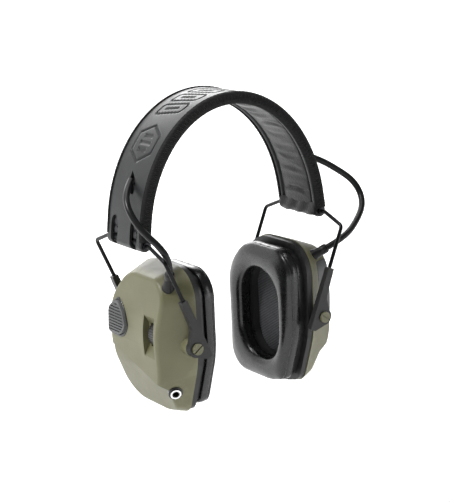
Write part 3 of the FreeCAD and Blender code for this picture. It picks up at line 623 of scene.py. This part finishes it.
def half_band_line():
    """The outer face's side view from the crown to the bar's level, as fine steps."""
    last = math.acos((LEG_START_Z - ARCH_CENTRE_Z) / ARCH_RISE)
    line = []
    for i in range(ARCH_STEPS + 1):
        a = last * i / ARCH_STEPS
        line.append((ARCH_HALF_SPAN * math.sin(a), ARCH_CENTRE_Z + ARCH_RISE * math.cos(a)))
    x, z = line[-1]
    slope = (ARCH_HALF_SPAN / ARCH_RISE) ** 2 * (LEG_START_Z - ARCH_CENTRE_Z) / x
    drop = LEG_START_Z - BAR[1]
    for i in range(1, LEG_STEPS + 1):
        line.append((x + slope * drop * i / LEG_STEPS, z - drop * i / LEG_STEPS))
    return line


class BandLine:
    """The band's outer face by distance from the crown; positive runs to the right side."""

    def __init__(self):
        half = half_band_line()
        self.leg_steps = len(half)
        for i in range(1, ROLL_STEPS + 1):
            a = ROLL_SWEEP * i / ROLL_STEPS
            half.append((BAR[0] + ROLL_RADIUS * math.cos(a), BAR[1] + ROLL_RADIUS * math.sin(a)))
        pts = np.array(half)
        steps = np.linalg.norm(np.diff(pts, axis=0), axis=1)
        self.s = np.concatenate([[0], np.cumsum(steps)])
        self.pts = pts
        tangent = np.gradient(pts, self.s, axis=0)
        tangent /= np.linalg.norm(tangent, axis=1)[:, None]
        self.inward = np.stack([tangent[:, 1], -tangent[:, 0]], axis=1)
        self.leg_end = self.s[self.leg_steps - 1]

    def at_height(self, z):
        """The distance from the crown at which the outer face is at height z."""
        heights = self.pts[:self.leg_steps, 1]
        return float(np.interp(-z, -heights, self.s[:self.leg_steps]))

    def point(self, s, t, depth):
        """A place at distance s along, t across and depth below the outer face."""
        a = abs(s)
        x = np.interp(a, self.s, self.pts[:, 0]) + np.interp(a, self.s, self.inward[:, 0]) * depth
        z = np.interp(a, self.s, self.pts[:, 1]) + np.interp(a, self.s, self.inward[:, 1]) * depth
        return (math.copysign(x, s), t, z)


BAND = BandLine()


def smooth_step(low, high, value):
    f = np.clip((value - low) / (high - low), 0, 1)
    return f * f * (3 - 2 * f)


def rounded_box(x, y, half_x, half_y, radius):
    """Signed distance to a rounded rectangle."""
    qx = np.abs(x) - half_x + radius
    qy = np.abs(y) - half_y + radius
    outside = np.hypot(np.maximum(qx, 0), np.maximum(qy, 0))
    return outside + np.minimum(np.maximum(qx, qy), 0) - radius


HEXAGON_PLACE, HEXAGON_RADIUS = 57.0, 10.5
BAR_PITCH = 4.6
FRAME_START, FRAME_PITCH, FRAME_COUNT = 30.0, 13.0, 6
FRAME_SLANT = 0.22


def motif(s, t):
    """How deep the plain debossed pattern is, from 0 to 1: a hexagon, then slanted frames."""
    x = s + HEXAGON_PLACE
    hexagon = np.maximum(np.abs(x) * 0.866 + np.abs(t) * 0.5, np.abs(t)) - HEXAGON_RADIUS
    depth = 1 - smooth_step(0.4, 0.9, np.abs(hexagon))
    for k in (-1, 0, 1):
        bar = rounded_box(x - BAR_PITCH * k, t, 1.0, 5.8 - abs(k) * 1.4, 0.9)
        depth = np.maximum(depth, 1 - smooth_step(-0.3, 0.4, bar))
    for k in range(FRAME_COUNT):
        slanted = s + FRAME_START - FRAME_PITCH * k + t * FRAME_SLANT
        frame_line = np.abs(rounded_box(slanted, t, 4.4, 10.6, 2.2))
        depth = np.maximum(depth, 1 - smooth_step(0.3, 0.8, frame_line))
        inner = rounded_box(slanted, t, 0.8, 5.6, 0.7)
        depth = np.maximum(depth, 1 - smooth_step(-0.3, 0.4, inner))
    return depth


def band_sweep(name, stations, ring_of, finish, sharp_deg=40):
    """A closed strip along the band; ring_of gives places across it and their depths."""
    rings = []
    for s in stations:
        t, depth = ring_of(s)
        rings.append([BAND.point(s, a, b) for a, b in zip(t, depth)])
    return capped_sweep(name, rings, finish, sharp_deg)


def both_ways(last, step):
    """Even stations from one end of the band over the crown to the other."""
    count = int(2 * last / step)
    return [last * (2 * i / count - 1) for i in range(count + 1)]


def across_band(piece, nodes=()):
    """Hides the nodes that the piece stands in for, if any, and bakes the piece's transform."""
    if nodes:
        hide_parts(*nodes)
    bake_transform(piece)


OVAL_STEPS = 40
OVAL_SQUARENESS = 0.62


def oval_prism(centre, along, across, half_long, half_wide, depth_way, pointed=0.0):
    """A cutter: an oval, pointed at its start if asked, extruded both ways along depth_way."""
    count = OVAL_STEPS
    loop = []
    for i in range(count):
        a = 2 * math.pi * i / count
        u, v = math.cos(a), math.sin(a)
        squeeze = 1 - pointed * max(0.0, -u) ** 1.2
        u = math.copysign(abs(u) ** OVAL_SQUARENESS, u) if pointed == 0 else u
        loop.append(centre + along * (u * half_long) + across * (v * half_wide * squeeze))
    verts = [p - depth_way for p in loop] + [p + depth_way for p in loop]
    faces = [tuple(range(count)), tuple(count + i for i in reversed(range(count)))]
    for i in range(count):
        j = (i + 1) % count
        faces.append((i, i + count, j + count, j))
    return add_mesh("cutter", verts, faces)


COVER_THICKNESS, COVER_LIFT = 1.95, 0.3
MOTIF_DEPTH = 0.75
COVER_STEP = 0.62
COVER_ROLL = math.radians(112)
END_SLOT_PLACE, END_SLOT_SPREAD = (69.5, 66.6), 11.0  # x and z, then y either way
END_SLOT_HALF = (9.0, 4.0)
CABLE_SLOT_Z, CABLE_SLOT_Y = 96.0, -2.6
CABLE_SLOT_HALF = (7.4, 3.3)
CABLE_SLOT_DEPTH = 1.4
CABLE_SLOT_SLANT, CABLE_SLOT_POINT = -0.45, 0.75


def make_cover():
    t_outer = np.linspace(-COVER_HALF, COVER_HALF, 86)
    t_inner = np.linspace(COVER_HALF, -COVER_HALF, 9)
    edge = smooth_step(0.0, 1.2, COVER_HALF - np.abs(t_outer))
    crown = 0.35 * (t_outer / COVER_HALF) ** 2 + 0.5 * (1 - edge)
    roll_end = BAND.leg_end + COVER_ROLL * ROLL_RADIUS

    def ring(s):
        lift = smooth_step(BAND.leg_end - 12, BAND.leg_end, abs(s))
        outer = crown * (1 - 0.5 * lift) + MOTIF_DEPTH * motif(s, t_outer)
        thickness = COVER_THICKNESS - COVER_LIFT * lift
        return (
            np.concatenate([t_outer, t_inner]),
            np.concatenate([outer, np.full_like(t_inner, thickness)]),
        )

    cover = band_sweep("band_cover", both_ways(roll_end, COVER_STEP), ring, COVER, 50)
    cutters = []
    for side in (-1, 1):
        for y in (-END_SLOT_SPREAD, END_SLOT_SPREAD):
            x, z = END_SLOT_PLACE
            cutters.append(oval_prism(
                Vector((side * x, y, z)), Vector((0, 0, 1)), Vector((0, 1, 0)),
                *END_SLOT_HALF, Vector((5.0, 0, 0)),
            ))
        s = side * BAND.at_height(CABLE_SLOT_Z)
        centre = Vector(BAND.point(s, CABLE_SLOT_Y, 0.8))
        down = (Vector(BAND.point(s + side * 2, CABLE_SLOT_Y, 0.8)) - centre).normalized()
        inward = (Vector(BAND.point(s, CABLE_SLOT_Y, 3)) - centre).normalized()
        along = (down + Vector((0, CABLE_SLOT_SLANT, 0))).normalized()
        across = along.cross(inward)
        cutters.append(oval_prism(
            centre, along, across, *CABLE_SLOT_HALF, inward * CABLE_SLOT_DEPTH, CABLE_SLOT_POINT,
        ))
    cut(cover, cutters, 38)
    across_band(cover, ["left_headband_cover", "right_headband_cover"])


SPRING_END_Z = 64.6
SPRING_TOP, SPRING_UNDER = 2.02, 2.98  # depth below the cover's outer face


def make_spring():
    last = BAND.at_height(SPRING_END_Z)

    def ring(_):
        t = np.array([-SPRING_HALF, SPRING_HALF, SPRING_HALF, -SPRING_HALF])
        return t, np.array([SPRING_TOP, SPRING_TOP, SPRING_UNDER, SPRING_UNDER])

    spring = band_sweep("band_spring", both_ways(last, 3.0), ring, DARK_STEEL)
    across_band(spring, ["left_headband_spring", "right_headband_spring"])


PAD_END_Z = 64.4
PAD_MARGIN = 0.3
PAD_STEP = 0.75
PAD_BASE, PAD_TOP = 4.7, 5.5
PAD_SEAM, PAD_SEAM_DEPTH = 14.6, 0.35
PAD_PANEL_SWELL, PAD_BORDER_SWELL = 1.25, 1.1
PAD_BORDER_MIDDLE, PAD_BORDER_HALF = 16.9, 2.3
PAD_HIDDEN, PAD_HIDDEN_DROP = 3.05, 1.55
END_FOLD_PLACE, END_FOLD_WIDTH, END_FOLD_DEPTH = 9.5, 0.8, 0.7
WRINKLE_SEED = 11
WRINKLE_REACH = 9
STITCH_PITCH, STITCH_LENGTH, STITCH_RADIUS = 3.0, 2.1, 0.24
STITCH_DEPTH, STITCH_ARCH = 5.25, 0.35
STITCH_STEPS = 4
THREAD_SIDES = 6


def wrinkle_list(seed, last):
    """Soft creases across the pad, each with a place, reach, curve, width and depth."""
    rng = random.Random(seed)
    wrinkles = []
    s = -last + 8
    while s < last - 8:
        wrinkles.append((
            s, rng.uniform(-4, 4), rng.uniform(9, 14), rng.uniform(-0.02, 0.02),
            rng.uniform(1.1, 2.0), rng.uniform(0.35, 0.9), rng.uniform(-0.06, 0.06),
        ))
        s += rng.uniform(6.0, 13.0)
    return wrinkles


def make_pad():
    last = BAND.at_height(PAD_END_Z)
    t_inner = np.linspace(COVER_HALF - PAD_MARGIN, -COVER_HALF + PAD_MARGIN, 84)
    t_hidden = np.linspace(-COVER_HALF + PAD_MARGIN, COVER_HALF - PAD_MARGIN, 7)
    wrinkles = wrinkle_list(WRINKLE_SEED, last)
    gap = np.abs(np.abs(t_inner) - PAD_SEAM)
    panel = np.clip(1 - (t_inner / PAD_SEAM) ** 2, 0, 1) ** 0.45
    from_border = (np.abs(t_inner) - PAD_BORDER_MIDDLE) / PAD_BORDER_HALF
    border = np.clip(1 - from_border ** 2, 0, 1) ** 0.5
    base = PAD_TOP + PAD_PANEL_SWELL * panel
    base = base + PAD_BORDER_SWELL * border * (np.abs(t_inner) > PAD_SEAM)
    base = base - PAD_SEAM_DEPTH * np.exp(-(gap / 0.7) ** 2)

    def ring(s):
        depth = base.copy()
        for at, middle, reach, curve, width, deep, slant in wrinkles:
            if abs(s - at) > WRINKLE_REACH:
                continue
            off = t_inner - middle
            line = s - at - curve * off ** 2 - slant * off
            fade = np.exp(-(off / reach) ** 4) * panel
            depth -= deep * np.exp(-(line / width) ** 2) * fade
            depth += deep * 0.45 * np.exp(-((abs(line) - 1.9 * width) / width) ** 2) * fade
        end = smooth_step(0, 1.6, last - abs(s))
        fold = math.exp(-((last - abs(s) - END_FOLD_PLACE) / END_FOLD_WIDTH) ** 2)
        depth = PAD_BASE + (depth - PAD_BASE) * (0.35 + 0.65 * end) - END_FOLD_DEPTH * fold * panel
        hidden = PAD_HIDDEN + PAD_HIDDEN_DROP * smooth_step(last - 23, last - 20, abs(s))
        return (
            np.concatenate([t_inner, t_hidden]),
            np.concatenate([depth, np.full_like(t_hidden, hidden)]),
        )

    pad = band_sweep("band_pad", both_ways(last, PAD_STEP), ring, PAD, 60)
    across_band(pad, ["left_headband_pad", "right_headband_pad"])
    stitches = []
    for side in (-1, 1):
        s = -last + 3
        while s < last - 3:
            line = []
            for k in range(STITCH_STEPS + 1):
                depth = STITCH_DEPTH + STITCH_ARCH * math.sin(math.pi * k / STITCH_STEPS)
                along = s + STITCH_LENGTH * k / STITCH_STEPS
                line.append(BAND.point(along, side * PAD_SEAM, depth))
            stitches.append(tube_rings(line, STITCH_RADIUS, THREAD_SIDES))
            s += STITCH_PITCH
    thread = rings_to_mesh("pad_stitches", stitches, THREAD)
    across_band(thread)


def rings_to_mesh(name, tubes, finish):
    """Many capped tubes in one mesh."""
    verts, faces = [], []
    for rings in tubes:
        first = len(verts)
        sides = len(rings[0])
        verts += [p for ring in rings for p in ring]
        for face in strip_faces(len(rings), sides, close_columns=True):
            faces.append(tuple(first + i for i in face))
        faces.append(tuple(first + i for i in range(sides)))
        last = first + (len(rings) - 1) * sides
        faces.append(tuple(last + i for i in reversed(range(sides))))
    return add_mesh(name, verts, faces, finish)


BINDING_END_Z = 63.6
ZIGZAG_STEP, ZIGZAG_ACROSS, ZIGZAG_RADIUS = 1.3, 20.62, 0.22
ZIGZAG_TOP, ZIGZAG_FOOT = 5.2, 1.5
ROW_ACROSS, ROW_DEPTH, ROW_RADIUS = 18.35, -0.14, 0.2


def make_bindings():
    last = BAND.at_height(BINDING_END_Z)
    # Each step: distance across from the band's middle, then depth below its outer face.
    profile = [
        (18.1, -0.12), (19.4, -0.16), (20.2, 0.25), (20.5, 1.2), (20.55, 3.6), (20.45, 6.0),
        (20.0, 6.9), (19.2, 7.25), (18.3, 7.1), (18.3, 6.5), (19.35, 6.2), (19.4, 3.6),
        (19.4, 0.9), (19.0, 0.5), (18.1, 0.35),
    ]
    binding_parts = []
    for side in (-1, 1):

        def ring(s):
            ripple = 0.08 * math.sin(s * 2.9) + 0.05 * math.sin(s * 1.3 + 1)
            t = np.array([side * (a + ripple * (a > 19.5)) for a, _ in profile])
            return t, np.array([b for _, b in profile])

        binding_parts.append(band_sweep("strip", both_ways(last, 1.0), ring, BINDING, 70))
    binding = join("band_binding", binding_parts)
    nodes = ["left_headband_binding", "right_headband_binding"]
    across_band(binding, nodes)
    zigzags = []
    for side in (-1, 1):
        zigzag, row = [], []
        for i, s in enumerate(both_ways(last - 2, ZIGZAG_STEP)):
            zigzag.append(BAND.point(s, side * ZIGZAG_ACROSS, ZIGZAG_FOOT if i % 2 else ZIGZAG_TOP))
            row.append(BAND.point(s, side * ROW_ACROSS, ROW_DEPTH - 0.12 * (i % 2)))
        zigzags.append(tube_rings(zigzag, ZIGZAG_RADIUS, THREAD_SIDES))
        zigzags.append(tube_rings(row, ROW_RADIUS, THREAD_SIDES))
    thread = rings_to_mesh("binding_stitches", zigzags, THREAD)
    across_band(thread)


WRAP_START_DEG, WRAP_SWEEP_DEG, WRAP_STEPS = -114, -70, 30
WRAP_RADIUS = 4.05
WRAP_THICKNESS = 1.5


def make_end_roll(side):
    """Leatherette turned round the inside of the band's rolled end."""
    sign = 1 if side == "right" else -1
    line = []
    for i in range(WRAP_STEPS + 1):
        a = math.radians(WRAP_START_DEG + WRAP_SWEEP_DEG * i / WRAP_STEPS)
        line.append((
            math.cos(a), math.sin(a),
            BAR[0] + WRAP_RADIUS * math.cos(a), BAR[1] + WRAP_RADIUS * math.sin(a),
        ))
    normal_x, normal_z, x, z = line[-1]
    for i in range(1, 9):
        line.append((normal_x, normal_z, x + 0.10 * i, z + 0.62 * i))
    t_outer = np.linspace(-COVER_HALF, COVER_HALF, 60)
    t_inner = np.linspace(COVER_HALF, -COVER_HALF, 9)
    edge = smooth_step(0.0, 1.4, COVER_HALF - np.abs(t_outer))
    rings = []
    for i, (nx, nz, x, z) in enumerate(line):
        puff = 0.25 * np.sin(t_outer * 0.55 + i * 0.12) * edge - 0.6 * (1 - edge)
        puff = puff + 0.5 * math.sin(math.pi * i / (len(line) - 1))
        ring = [(sign * (x + nx * p), t, z + nz * p) for t, p in zip(t_outer, puff)]
        ring += [
            (sign * (x - nx * WRAP_THICKNESS), t, z - nz * WRAP_THICKNESS) for t in t_inner
        ]
        rings.append(ring)
    roll = capped_sweep(side + "_end_wrap", rings, PAD, 60)
    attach(roll, "headband_" + side)


# ---- Ear cushions ---------------------------------------------------------------------------

# The shell's seam: each side's bearing in degrees, its distance, and its corner's radius.
FACETS = [
    (45, 43.4, 29), (90, 45.5, 19), (180, 36.6, 60), (200, 37.9, 10), (256, 49.1, 40),
    (270, 48.7, 18), (360, 37.0, 32),
]
EAR_CENTRE_Z = -2.5
EAR_HALF_WIDE, EAR_HALF_HIGH = 20.5, 29.5
EAR_ROUNDNESS = 0.985
CUSHION_INSET = 3.0
CUSHION_STEPS = 220
CORNER_STEPS = 12
OUTLINE_STEP = 1.5


def facet_corners(shrink):
    """Where neighbouring sides meet, with every side moved inwards by shrink."""
    corners = []
    for i, (angle, distance, _) in enumerate(FACETS):
        next_angle, next_distance, _ = FACETS[(i + 1) % len(FACETS)]
        a, b = math.radians(angle), math.radians(next_angle)
        p, q = distance - shrink, next_distance - shrink
        turn = math.sin(b - a)
        y = (p * math.sin(b) - q * math.sin(a)) / turn
        z = (q * math.cos(a) - p * math.cos(b)) / turn
        corners.append(Vector((y, z)))
    return corners


def rounded_outline(corners, radii):
    """Points round a polygon with rounded corners."""
    points = []
    for i, corner in enumerate(corners):
        back = (corners[i - 1] - corner).normalized()
        ahead = (corners[(i + 1) % len(corners)] - corner).normalized()
        half = back.angle(ahead) / 2
        reach = radii[i] / math.tan(half)
        centre = corner + (back + ahead).normalized() * (radii[i] / math.sin(half))
        start = corner + back * reach - centre
        sweep = math.pi - 2 * half
        turn = math.copysign(sweep, start.y * back.x - start.x * back.y)
        for k in range(CORNER_STEPS + 1):
            a = turn * k / CORNER_STEPS
            points.append(Vector((
                centre.x + start.x * math.cos(a) - start.y * math.sin(a),
                centre.y + start.x * math.sin(a) + start.y * math.cos(a),
            )))
    return points


def polar_radii(outline, angles):
    """Distance from the ear's centre to a closed outline in each direction."""
    centre = Vector((0, EAR_CENTRE_Z))
    offsets = [p - centre for p in outline]
    bearing = np.array([math.atan2(p.y, p.x) for p in offsets])
    reach = np.array([p.length for p in offsets])
    order = np.argsort(bearing)
    bearing, reach = bearing[order], reach[order]
    bearing = np.concatenate([bearing[-3:] - 2 * math.pi, bearing, bearing[:3] + 2 * math.pi])
    reach = np.concatenate([reach[-3:], reach, reach[:3]])
    keep = np.concatenate([[True], np.diff(bearing) > 1e-6])
    return np.interp(angles, bearing[keep], reach[keep])


def finer(outline):
    """The outline with points added along its longer steps."""
    points = []
    for i, p in enumerate(outline):
        q = outline[(i + 1) % len(outline)]
        steps = max(1, int((q - p).length / OUTLINE_STEP))
        points += [p + (q - p) * k / steps for k in range(steps)]
    return points


def cushion_radii(angles):
    """The cushion's outer edge and its ear opening, as distances from the ear's centre."""
    radii = [max(r - CUSHION_INSET, 2.0) for _, _, r in FACETS]
    outer = polar_radii(finer(rounded_outline(facet_corners(CUSHION_INSET), radii)), angles)
    ear = [
        Vector((EAR_HALF_WIDE * y, EAR_CENTRE_Z + EAR_HALF_HIGH * z))
        for y, z in ((1, 1), (-1, 1), (-1, -1), (1, -1))
    ]
    ear_radii = [EAR_HALF_WIDE * EAR_ROUNDNESS] * 4
    inner = polar_radii(finer(rounded_outline(ear, ear_radii)), angles)
    return outer, inner


PUFF_FRAMES, PUFF_PRESSURE, PUFF_CAP = 16, 3.0, 1.6
CLOTH_MASS = 0.2
CLOTH_STIFFNESS, CLOTH_BENDING = 12, 0.4


def simulate(obj, pinned, frames, pressure, cap_mm):
    """Puffs the piece with cloth pressure; no point moves further than the cap."""
    rest = np.array([v.co for v in obj.data.vertices])
    group = obj.vertex_groups.new(name="pinned")
    for index, weight in pinned.items():
        group.add([index], weight, "REPLACE")
    cloth = obj.modifiers.new("cloth", "CLOTH")
    settings = cloth.settings
    settings.quality = 6
    settings.mass = CLOTH_MASS
    settings.tension_stiffness = CLOTH_STIFFNESS
    settings.compression_stiffness = CLOTH_STIFFNESS
    settings.bending_stiffness = CLOTH_BENDING
    settings.use_pressure = True
    settings.uniform_pressure_force = pressure
    settings.vertex_group_mass = "pinned"
    settings.effector_weights.gravity = 0
    cloth.collision_settings.use_collision = False
    scene = bpy.context.scene
    for number in range(1, frames + 1):
        scene.frame_set(number)
    graph = bpy.context.evaluated_depsgraph_get()
    moved = np.array([v.co for v in obj.evaluated_get(graph).data.vertices])
    obj.modifiers.clear()
    scene.frame_set(1)
    shift = moved - rest
    length = np.linalg.norm(shift, axis=1)
    cap = cap_mm * MM
    share = cap * np.tanh(length / cap) / np.maximum(length, 1e-9)
    obj.data.vertices.foreach_set("co", (rest + shift * share[:, None]).ravel())
    obj.data.update()


# Each row: x, then how far from the outer edge (0) to the hole's edge (1), then an offset.
CUSHION_PROFILE = [
    (34.65, 0, -0.4), (34.2, 0, 0.0), (33.0, 0, 0.15), (31.6, 0, 0.2), (30.4, 0, 0.1),
    (29.7, 0, -0.15), (29.35, 0, -0.75), (29.0, 0, -0.25), (28.5, 0, -0.2), (27.9, 0, -0.65),
    (27.1, 0, -1.6), (26.4, 0, -3.0), (25.8, 0.30, 0), (25.3, 0.42, 0), (25.15, 0.54, 0),
    (25.25, 0.66, 0), (25.6, 0.77, 0), (26.1, 0.86, 0), (26.9, 0.93, 0), (27.9, 0.975, 0),
    (29.2, 1, 0), (30.8, 1, 0.05), (32.6, 1, 0.1), (34.0, 1, 0.05), (34.65, 1, 0.3),
    (34.65, 0.7, 0), (34.65, 0.35, 0),
]
SEAM_ROW, SEAM_REACH = 6, 2.2
# How firmly each row of the profile is held while the rest puffs.
PINNED_ROWS = {0: 1, 1: 1, 6: 1, 5: 0.6, 7: 0.6, 22: 0.6, 23: 1, 24: 1, 25: 1, 26: 1}


def make_cushion(side):
    """A sewn ring: a rounded face, a welt seam, and a flatter side band."""
    sign = 1 if side == "right" else -1
    angles = np.linspace(-math.pi, math.pi, CUSHION_STEPS, endpoint=False)
    outer, inner = cushion_radii(angles)
    verts = []
    for k, angle in enumerate(angles):
        pinch = 0.12 * math.sin(angle * 37) + 0.1 * math.sin(angle * 61 + 1)
        for row, (x, share, offset) in enumerate(CUSHION_PROFILE):
            radius = outer[k] * (1 - share) + inner[k] * share + offset
            near_seam = math.exp(-((row - SEAM_ROW) / SEAM_REACH) ** 2)
            radius += pinch * near_seam * 0.7
            verts.append((
                sign * x, radius * math.cos(angle), EAR_CENTRE_Z + radius * math.sin(angle),
            ))
    columns = len(CUSHION_PROFILE)
    faces = strip_faces(CUSHION_STEPS, columns, close_rows=True, close_columns=True)
    cushion = add_mesh(side + "_cushion", verts, faces, CUSHION, 80)
    pinned = {
        k * columns + row: weight
        for k in range(CUSHION_STEPS) for row, weight in PINNED_ROWS.items()
    }
    simulate(cushion, pinned, PUFF_FRAMES, PUFF_PRESSURE, PUFF_CAP)
    smoother = cushion.modifiers.new("smoother", "SUBSURF")
    smoother.levels = smoother.render_levels = 1
    evaluated_copy(cushion)
    tidy_mesh(cushion, 80)
    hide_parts(side + "_ear_cushion")
    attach(cushion, side + "_cup")


# ---- Microphone rims ------------------------------------------------------------------------

MIC_CENTRE = Vector((61.5, 19.0, 9.0))
MIC_YAW = math.radians(22.0)
MIC_HALF_WIDTH = 11.3
MIC_TIP_Z, MIC_SHOULDER_Z, MIC_SIDE_Z = 11.4, 6.2, -1.8
MIC_HEEL_Z, MIC_FOOT_Z = -7.9, -9.6
RIM_GAP = 0.75
RIM_HALF_WIDTH, RIM_HEIGHT, RIM_SIDES = 0.75, 0.55, 8
RAY_START = 30


def arc_through(a, b, c, count):
    """Points on the arc from a over b towards c, leaving out c itself."""
    d = 2 * (a[0] * (b[1] - c[1]) + b[0] * (c[1] - a[1]) + c[0] * (a[1] - b[1]))
    squares = [p[0] ** 2 + p[1] ** 2 for p in (a, b, c)]
    x = sum(q * w for q, w in zip(squares, (b[1] - c[1], c[1] - a[1], a[1] - b[1]))) / d
    z = sum(q * w for q, w in zip(squares, (c[0] - b[0], a[0] - c[0], b[0] - a[0]))) / d
    radius = math.hypot(a[0] - x, a[1] - z)
    first = math.atan2(a[1] - z, a[0] - x)
    turn = (math.atan2(c[1] - z, c[0] - x) - first + math.pi) % (2 * math.pi) - math.pi
    angles = [first + turn * i / count for i in range(count)]
    return [(x + radius * math.cos(q), z + radius * math.sin(q)) for q in angles]


def microphone_outline(grow):
    """The cover's outline, across and up from its centre, larger by grow on every side."""
    half = MIC_HALF_WIDTH + grow
    tip, foot = (0, MIC_TIP_Z + grow * 1.6), (0, MIC_FOOT_Z - grow)
    shoulder = MIC_HALF_WIDTH * 0.62 + grow
    heel, heel_z = MIC_HALF_WIDTH * 0.66 + grow * 0.7, MIC_HEEL_Z - grow * 0.7
    return (
        arc_through((-half, MIC_SIDE_Z), (-shoulder, MIC_SHOULDER_Z), tip, 20)
        + arc_through(tip, (shoulder, MIC_SHOULDER_Z), (half, MIC_SIDE_Z), 20)
        + arc_through((half, MIC_SIDE_Z), (heel, heel_z), foot, 14)
        + arc_through(foot, (-heel, heel_z), (-half, MIC_SIDE_Z), 14)
    )


def make_microphone_rim(side):
    """A black lip laid on the shell round the microphone's cover."""
    sign = 1 if side == "right" else -1
    shell = NODES[side + "_outer_shell"]
    corners = [shell.matrix_world @ v.co for v in shell.data.vertices]
    tree = BVHTree.FromPolygons(corners, [tuple(p.vertices) for p in shell.data.polygons])
    outward = Vector((sign * math.cos(MIC_YAW), math.sin(MIC_YAW), 0))
    across = Vector((-sign * math.sin(MIC_YAW), math.cos(MIC_YAW), 0))
    centre = Vector((sign * MIC_CENTRE.x, MIC_CENTRE.y, MIC_CENTRE.z))
    places = []
    for along, up in microphone_outline(RIM_GAP):
        start = centre + across * along + Vector((0, 0, up)) + outward * RAY_START
        hit, normal, _, _ = tree.ray_cast(start * MM, -outward)
        if hit is not None:
            places.append((hit / MM, normal if normal.dot(outward) > 0 else -normal))
    rings = []
    for i, (place, normal) in enumerate(places):
        ahead = (places[(i + 1) % len(places)][0] - places[i - 1][0]).normalized()
        beside = ahead.cross(normal).normalized()
        rings.append([
            place + beside * (RIM_HALF_WIDTH * math.cos(a)) + normal * (RIM_HEIGHT * math.sin(a))
            for a in (2 * math.pi * k / RIM_SIDES for k in range(RIM_SIDES))
        ])
    faces = strip_faces(len(rings), RIM_SIDES, close_rows=True, close_columns=True)
    verts = [p for ring in rings for p in ring]
    rim = add_mesh(side + "_microphone_rim", verts, faces, BLACK, 60)
    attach(rim, side + "_cup")


# ---- Build ----------------------------------------------------------------------------------

finish_cad_nodes()
place_camera()
light_studio()
lay_floor()
for side in ("left", "right"):
    make_cable(side)
    make_boot(side)
    make_end_roll(side)
    make_cushion(side)
    make_microphone_rim(side)
make_cover()
make_spring()
make_pad()
make_bindings()
